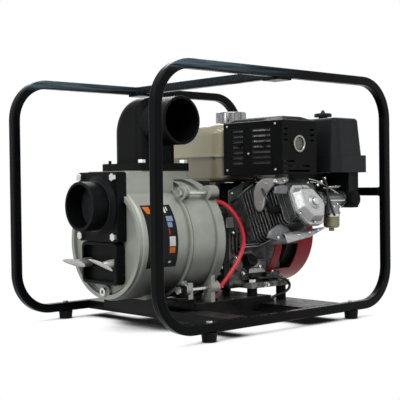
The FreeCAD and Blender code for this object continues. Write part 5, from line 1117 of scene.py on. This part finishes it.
def spring(name, start, end, radius, wire_radius, turns, slot):
    """A coil spring drawn between two points, with straight ends."""
    along, first, second = frame_about(end - start)
    length = (end - start).length
    steps = turns * 8
    route = [start]
    for at in range(steps + 1):
        angle = 2 * pi * at / 8
        share = 0.12 + 0.76 * at / steps
        route.append(start + along * length * share
                     + (first * cos(angle) + second * sin(angle)) * radius)
    route.append(end)
    wire(name, mm(*route), wire_radius * MM, slot, 2)


def carburettor_trim():
    """Linkage rods, the governor spring, the float bowl's screws and the small hoses."""
    carb_low = low("carburettor")
    radius = middle("carburettor").y - carb_low.y
    bowl = Vector((carb_low.x + 64, carb_low.y + radius, carb_low.z))
    left = carb_low.x + 22
    right = carb_low.x + 84
    front = carb_low.y - 5
    rods = Lump()
    rods.bar((left, front, 301), (right, front, 300), 2.2)
    rods.bar((left, front, 301), (left, front + 14, 301), 2)
    rods.bar((right, front, 300), (right, front + 14, 300), 2)
    for across, z in ((-12, 284), (-2, 290), (12, 284), (-14, 270), (10, 268)):
        face = bowl.y - sqrt(radius ** 2 - across ** 2)
        rods.hexagon((bowl.x + across, face + 1.5, z), TO_NEAR, 3, 4)
    rods.made("carburettor_rods")
    spring("governor_spring", Vector((carb_low.x - 6, front - 4, 333)),
           Vector((carb_low.x + 66, front - 3, 336)), 3, 0.7, 14, "zinc_steel")
    wire("governor_rod", mm((150, -222, 356), (180, -226, 352), (206, -230, 338),
                            (232, -230, 333)), 1.1 * MM, "zinc_steel")
    wire("choke_rod", mm((166, -212, 349), (196, -224, 346), (236, -230, 326),
                         (262, -226, 318)), 1.1 * MM, "zinc_steel")
    wire("vent_hose", mm((196, -228, 360), (206, -234, 345), (204, -236, 322),
                         (212, -233, 300), (214, -228, 284)), 3.1 * MM, "hose_rubber")
    wire("fuel_hose", mm((232, -176, 345), (226, -206, 330), (219, -229, 309),
                         (228, -232, 276), (246, -226, 262)), 3.1 * MM, "hose_rubber")
    clamps = Lump()
    for place in ((154, -215, 347), (195, -226, 349), (204, -229, 357), (182, -224, 340)):
        clamps.dome(place, (-0.5, -0.8, 0.2), 3.4, 3)
    clamps.made("linkage_screws")
    rim = Lump()
    rim.turned([(22.2, 38), (22.6, 40), (22.6, 43), (22.2, 45)], bowl, (0, 0, 1), 32)
    rim.made("float_bowl_rim")


def case_trim():
    """Bolts, ribs and bosses on the case."""
    alloy = look(case_alloy)
    near = low("crankcase_cover").y
    bolts = Lump()
    for place in ((-20, -70, 300), (-20, -82, 262), (-20, -82, 190), (-20, -74, 120)):
        bolts.hexagon(place, TO_PUMP, 4.2, 6)
    for place in ((12, -89, 222), (20, -89, 158), (96, -127, 88), (44, -89, 118),
                  (150, -89, 118), (104, -89, 132)):
        bolts.hexagon(place, TO_NEAR, 4.2, 6)
    bolts.made("case_bolts")
    ribs = Lump()
    for at in range(4):
        x = 6 + at * 13
        ribs.block((x, near - 5, 172), (x + 4, near + 1, 222))
    for at in range(3):
        z = 100 + at * 14
        ribs.block((40, near - 4, z), (120, near + 1, z + 3.5))
    ribs.block((20, near - 14, 168), (66, near + 1, 176))
    ribs.made("case_ribs", "engine_alloy", alloy, bevel=1.2)
    boss = Lump()
    boss.turned([(17, -2), (17, 10), (15, 13)], (18, -88, 142), TO_NEAR)
    boss.turned([(10, -2), (10, 16), (8, 18)], (128, -88, 104), TO_NEAR)
    boss.made("case_bosses", "engine_alloy", alloy)


def case_leads():
    wire("spark_lead", mm((30, -200, 296), (24, -198, 306), (26, -184, 322), (44, -160, 334),
                          (70, -132, 340), (96, -104, 344)), 3.2 * MM, "hose_rubber")
    wire("breather_pipe", mm((4, -94, 300), (4, -108, 306), (10, -120, 318), (22, -128, 332),
                             (40, -132, 342)), 3.6 * MM, "hose_rubber")


def case_deck():
    """Stepped and drafted flanges cast on the case."""
    deck = Lump()
    for at in range(3):
        z = 184 + at * 6
        deck.block((30 + at * 3, at - 97, z), (116 - at * 2, -86, z + 3.6))
    deck.block((64, -93, 117), (132, -86, 150), 4)
    deck.block((-14, -92, 236), (14, -86, 262), 3)
    deck.made("case_deck_flange", "engine_alloy", look(guide_alloy), bevel=1.2)


# ---------------- stays, covers and the rope

def tank_stays():
    """A ribbed black sheet and a rail, which hang under the tank."""
    tank_low = low("fuel_tank")
    z = tank_low.z
    stay = Lump()
    y = low("crankcase_cover").y * 0.28
    stay.block((28, y - 1.5, z - 46), (206, y, z - 0.6))
    stay.block((28, y - 14, z - 3), (206, y, z - 0.8))
    for x in (44, 70, 96, 122, 148, 174):
        stay.block((x - 5, y - 3.6, z - 40), (x + 5, y - 1, z - 10), 1)
    stay.made("tank_stay", "sheet_paint", bevel=0.8)
    rail = Lump()
    rail.block((tank_low.x + 14, tank_low.y + 22, z - 30),
               (tank_low.x + 17, high("fuel_tank").y - 40, z + 1), 0.5)
    for at in range(4):
        y = tank_low.y + 40 + at * 36
        rail.block((tank_low.x + 11, y, z - 26), (tank_low.x + 15, y + 8, z - 6), 1)
    rail.made("tank_rail", "sheet_paint", bevel=0.8)


def intake_boot():
    """The ribbed rubber boot on the intake's mouth."""
    boot = Lump()
    boot.turned([(20, -6), (20.5, 1), (18.5, 2.2), (18.5, 3.4), (20, 4.6), (19.6, 6.4),
                 (17.4, 7.4), (17.4, 8.6), (18.4, 9.8), (15, 12.4), (8, 14)],
                (316, -231, 302), TO_NEAR, 40)
    boot.made("intake_boot", "rubber")


def carburettor_shade_sheet():
    """A black sheet beside the carburettor, with a step in its lower edge, that stands in for the
    shade there as painted shade.
    """
    points = []
    columns = 20
    for column in range(columns + 1):
        u = column / columns
        x = 122 + u * 178
        foot = 334 - 34 * max(0.0, min(1.0, (u - 0.44) / 0.2))
        points += [(x, -172, foot), (x, -170, foot), (x, -170, 371.7), (x, -172, 371.7)]
    piece("carburettor_shade_sheet", points, ring_faces(columns + 1, 4), "sheet_paint")


def fan_cover_shade_liner():
    """A thin black liner inside the fan cover, round its far half, that stands in for the shade
    inside it as painted shade.
    """
    fan_low = low("fan_cover")
    fan_high = high("fan_cover")
    outer = (fan_high.y - fan_low.y) / 2 - 3.6
    inner = outer - 1.5
    x0 = fan_low.x + 2
    x1 = fan_high.x - 4
    points = []
    steps = 40
    for at in range(steps + 1):
        angle = radians(-75 + 150 * at / steps)
        for x, radius in ((x0, outer), (x0, inner), (x1, inner), (x1, outer)):
            points.append((x, radius * cos(angle), AXIS_Z + radius * sin(angle)))
    piece("fan_cover_shade_liner", points, ring_faces(steps + 1, 4), "rubber")


def recoil_screen():
    """The flat ring inside the recoil starter, over the fan."""
    ring = [(14, 0), (88, 0), (88, 1.5), (14, 1.5), (14, 0)]
    open_lathe("recoil_screen", ring, (high("recoil_starter").x - 11, 0, AXIS_Z), (1, 0, 0),
               "rubber")


ROPE_LENGTH = 12
ROPE_RADIUS = 2.2


def recoil_rope():
    """The starter's rope: a short length at the handle, as when wound up at rest."""
    handle = middle("recoil_handle")
    origin = Vector((handle.x, low("recoil_handle").y - 6, handle.z))
    profile = [(ROPE_RADIUS, reach) for reach in range(ROPE_LENGTH + 1)]
    profile = [(0, 0)] + profile + [(0, ROPE_LENGTH)]
    rope = open_lathe("recoil_rope", profile, origin, (0, 1, 0), "hose_rubber", body=None,
                      sides=12)
    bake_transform(rope)


def trim():
    weld_beads()
    guard_lips()
    guard_inside()
    guard_outside()
    muffler_outlet()
    rocker_trim()
    head_pads()
    case_deck()
    recoil_screen()
    carburettor_trim()
    case_trim()
    case_leads()
    collar_rings()
    side_guide()
    lower_guide()
    tank_stays()
    intake_boot()
    carburettor_shade_sheet()
    fan_cover_shade_liner()
    casing_ridges()
    recoil_rope()
    wing_knob(-1, radians(13), 5.6, 40)
    wing_knob(1, radians(5), 8, 46)


# ---------------- stage, lamps and camera

def seen_white(tree, output, plain, white):
    """Rays from the camera and mirrored or refracted ones meet white, and others plain."""
    path = tree.nodes.new("ShaderNodeLightPath")
    share = path.outputs["Is Camera Ray"]
    for other in ("Is Glossy Ray", "Is Transmission Ray"):
        share = add_node(tree, "Math", {0: share, 1: path.outputs[other]},
                         operation="MAXIMUM").outputs[0]
    seen = add_node(tree, "MixShader", {
        0: share, 1: plain.outputs[0], 2: white.outputs[0]})
    add_node(tree, output, {"Surface": seen.outputs[0]})


def stage():
    """A floor that looks white, with a painted shadow under the machine where it is occluded, and
    throws little light back.
    """
    mesh = bpy.data.meshes.new("floor")
    reach = 12
    corners = [(-reach, -reach, 0), (reach, -reach, 0), (reach, reach, 0), (-reach, reach, 0)]
    mesh.from_pydata(corners, [], [(0, 1, 2, 3)])
    floor = placed("floor", mesh)
    material = bpy.data.materials.new("pale_floor")
    material.use_nodes = True
    tree = material.node_tree
    tree.nodes.clear()
    cover = add_node(tree, "AmbientOcclusion", {"Distance": 0.10}, samples=16)
    painted_floor_shadow = color_ramp(tree, cover.outputs["AO"], (0.30, 0.008), (0.68, 1.0))
    seen_white(tree, "OutputMaterial",
               add_node(tree, "BsdfDiffuse", {"Color": 0.3}),
               add_node(tree, "Emission", {"Color": painted_floor_shadow, "Strength": 1.0}))
    mesh.materials.append(material)


def world():
    made = bpy.data.worlds.new("studio")
    bpy.context.scene.world = made
    made.use_nodes = True
    tree = made.node_tree
    tree.nodes.clear()
    seen_white(tree, "OutputWorld",
               add_node(tree, "Background", {"Color": (0.95, 0.97, 1.0),
                                                       "Strength": 0.42}),
               add_node(tree, "Background", {"Color": 1.0, "Strength": 1.0}))


def lamp(name, place, width, height, watts):
    """A rectangular lamp that looks at the middle of the machine."""
    data = bpy.data.lights.new(name, "AREA")
    data.shape = "RECTANGLE"
    data.size = width
    data.size_y = height
    data.energy = watts
    obj = placed(name, data)
    obj.location = place
    way = Vector((0, 0, 0.25)) - Vector(place)
    obj.rotation_euler = way.to_track_quat("-Z", "Y").to_euler()


def lamps():
    lamp("key_above", (-0.9, -1.2, 2.3), 1.8, 1.2, 42)
    lamp("fill_left", (-2.6, -0.4, 1.2), 1.4, 1.4, 16)
    lamp("rim_behind", (1.2, 1.9, 1.9), 1.6, 1.0, 22)


def camera():
    """The lens and place that fit the cage's corners; it leans by under a degree."""
    yaw, pitch, roll = radians(47.353), radians(0.987), radians(-0.699)
    level = Vector((cos(yaw), sin(yaw), 0))
    ahead = level * cos(pitch) - Vector((0, 0, sin(pitch)))
    right = Vector((sin(yaw), -cos(yaw), 0))
    up = right.cross(ahead)
    side = right * cos(roll) + up * sin(roll)
    top = up * cos(roll) - right * sin(roll)
    data = bpy.data.cameras.new("camera")
    data.lens = 85.64
    data.sensor_width = 36
    data.clip_start = 0.05
    obj = placed("camera", data)
    rotation = Matrix((side, top, -ahead)).transposed()
    obj.matrix_world = Matrix.Translation((-1.67185, -1.79574, 0.34767)) @ rotation.to_4x4()
    bpy.context.scene.camera = obj


# ---------------- build

bpy.context.scene.view_settings.view_transform = "Standard"
dress_nodes()
cords()
label()
trim()
stage()
world()
lamps()
camera()
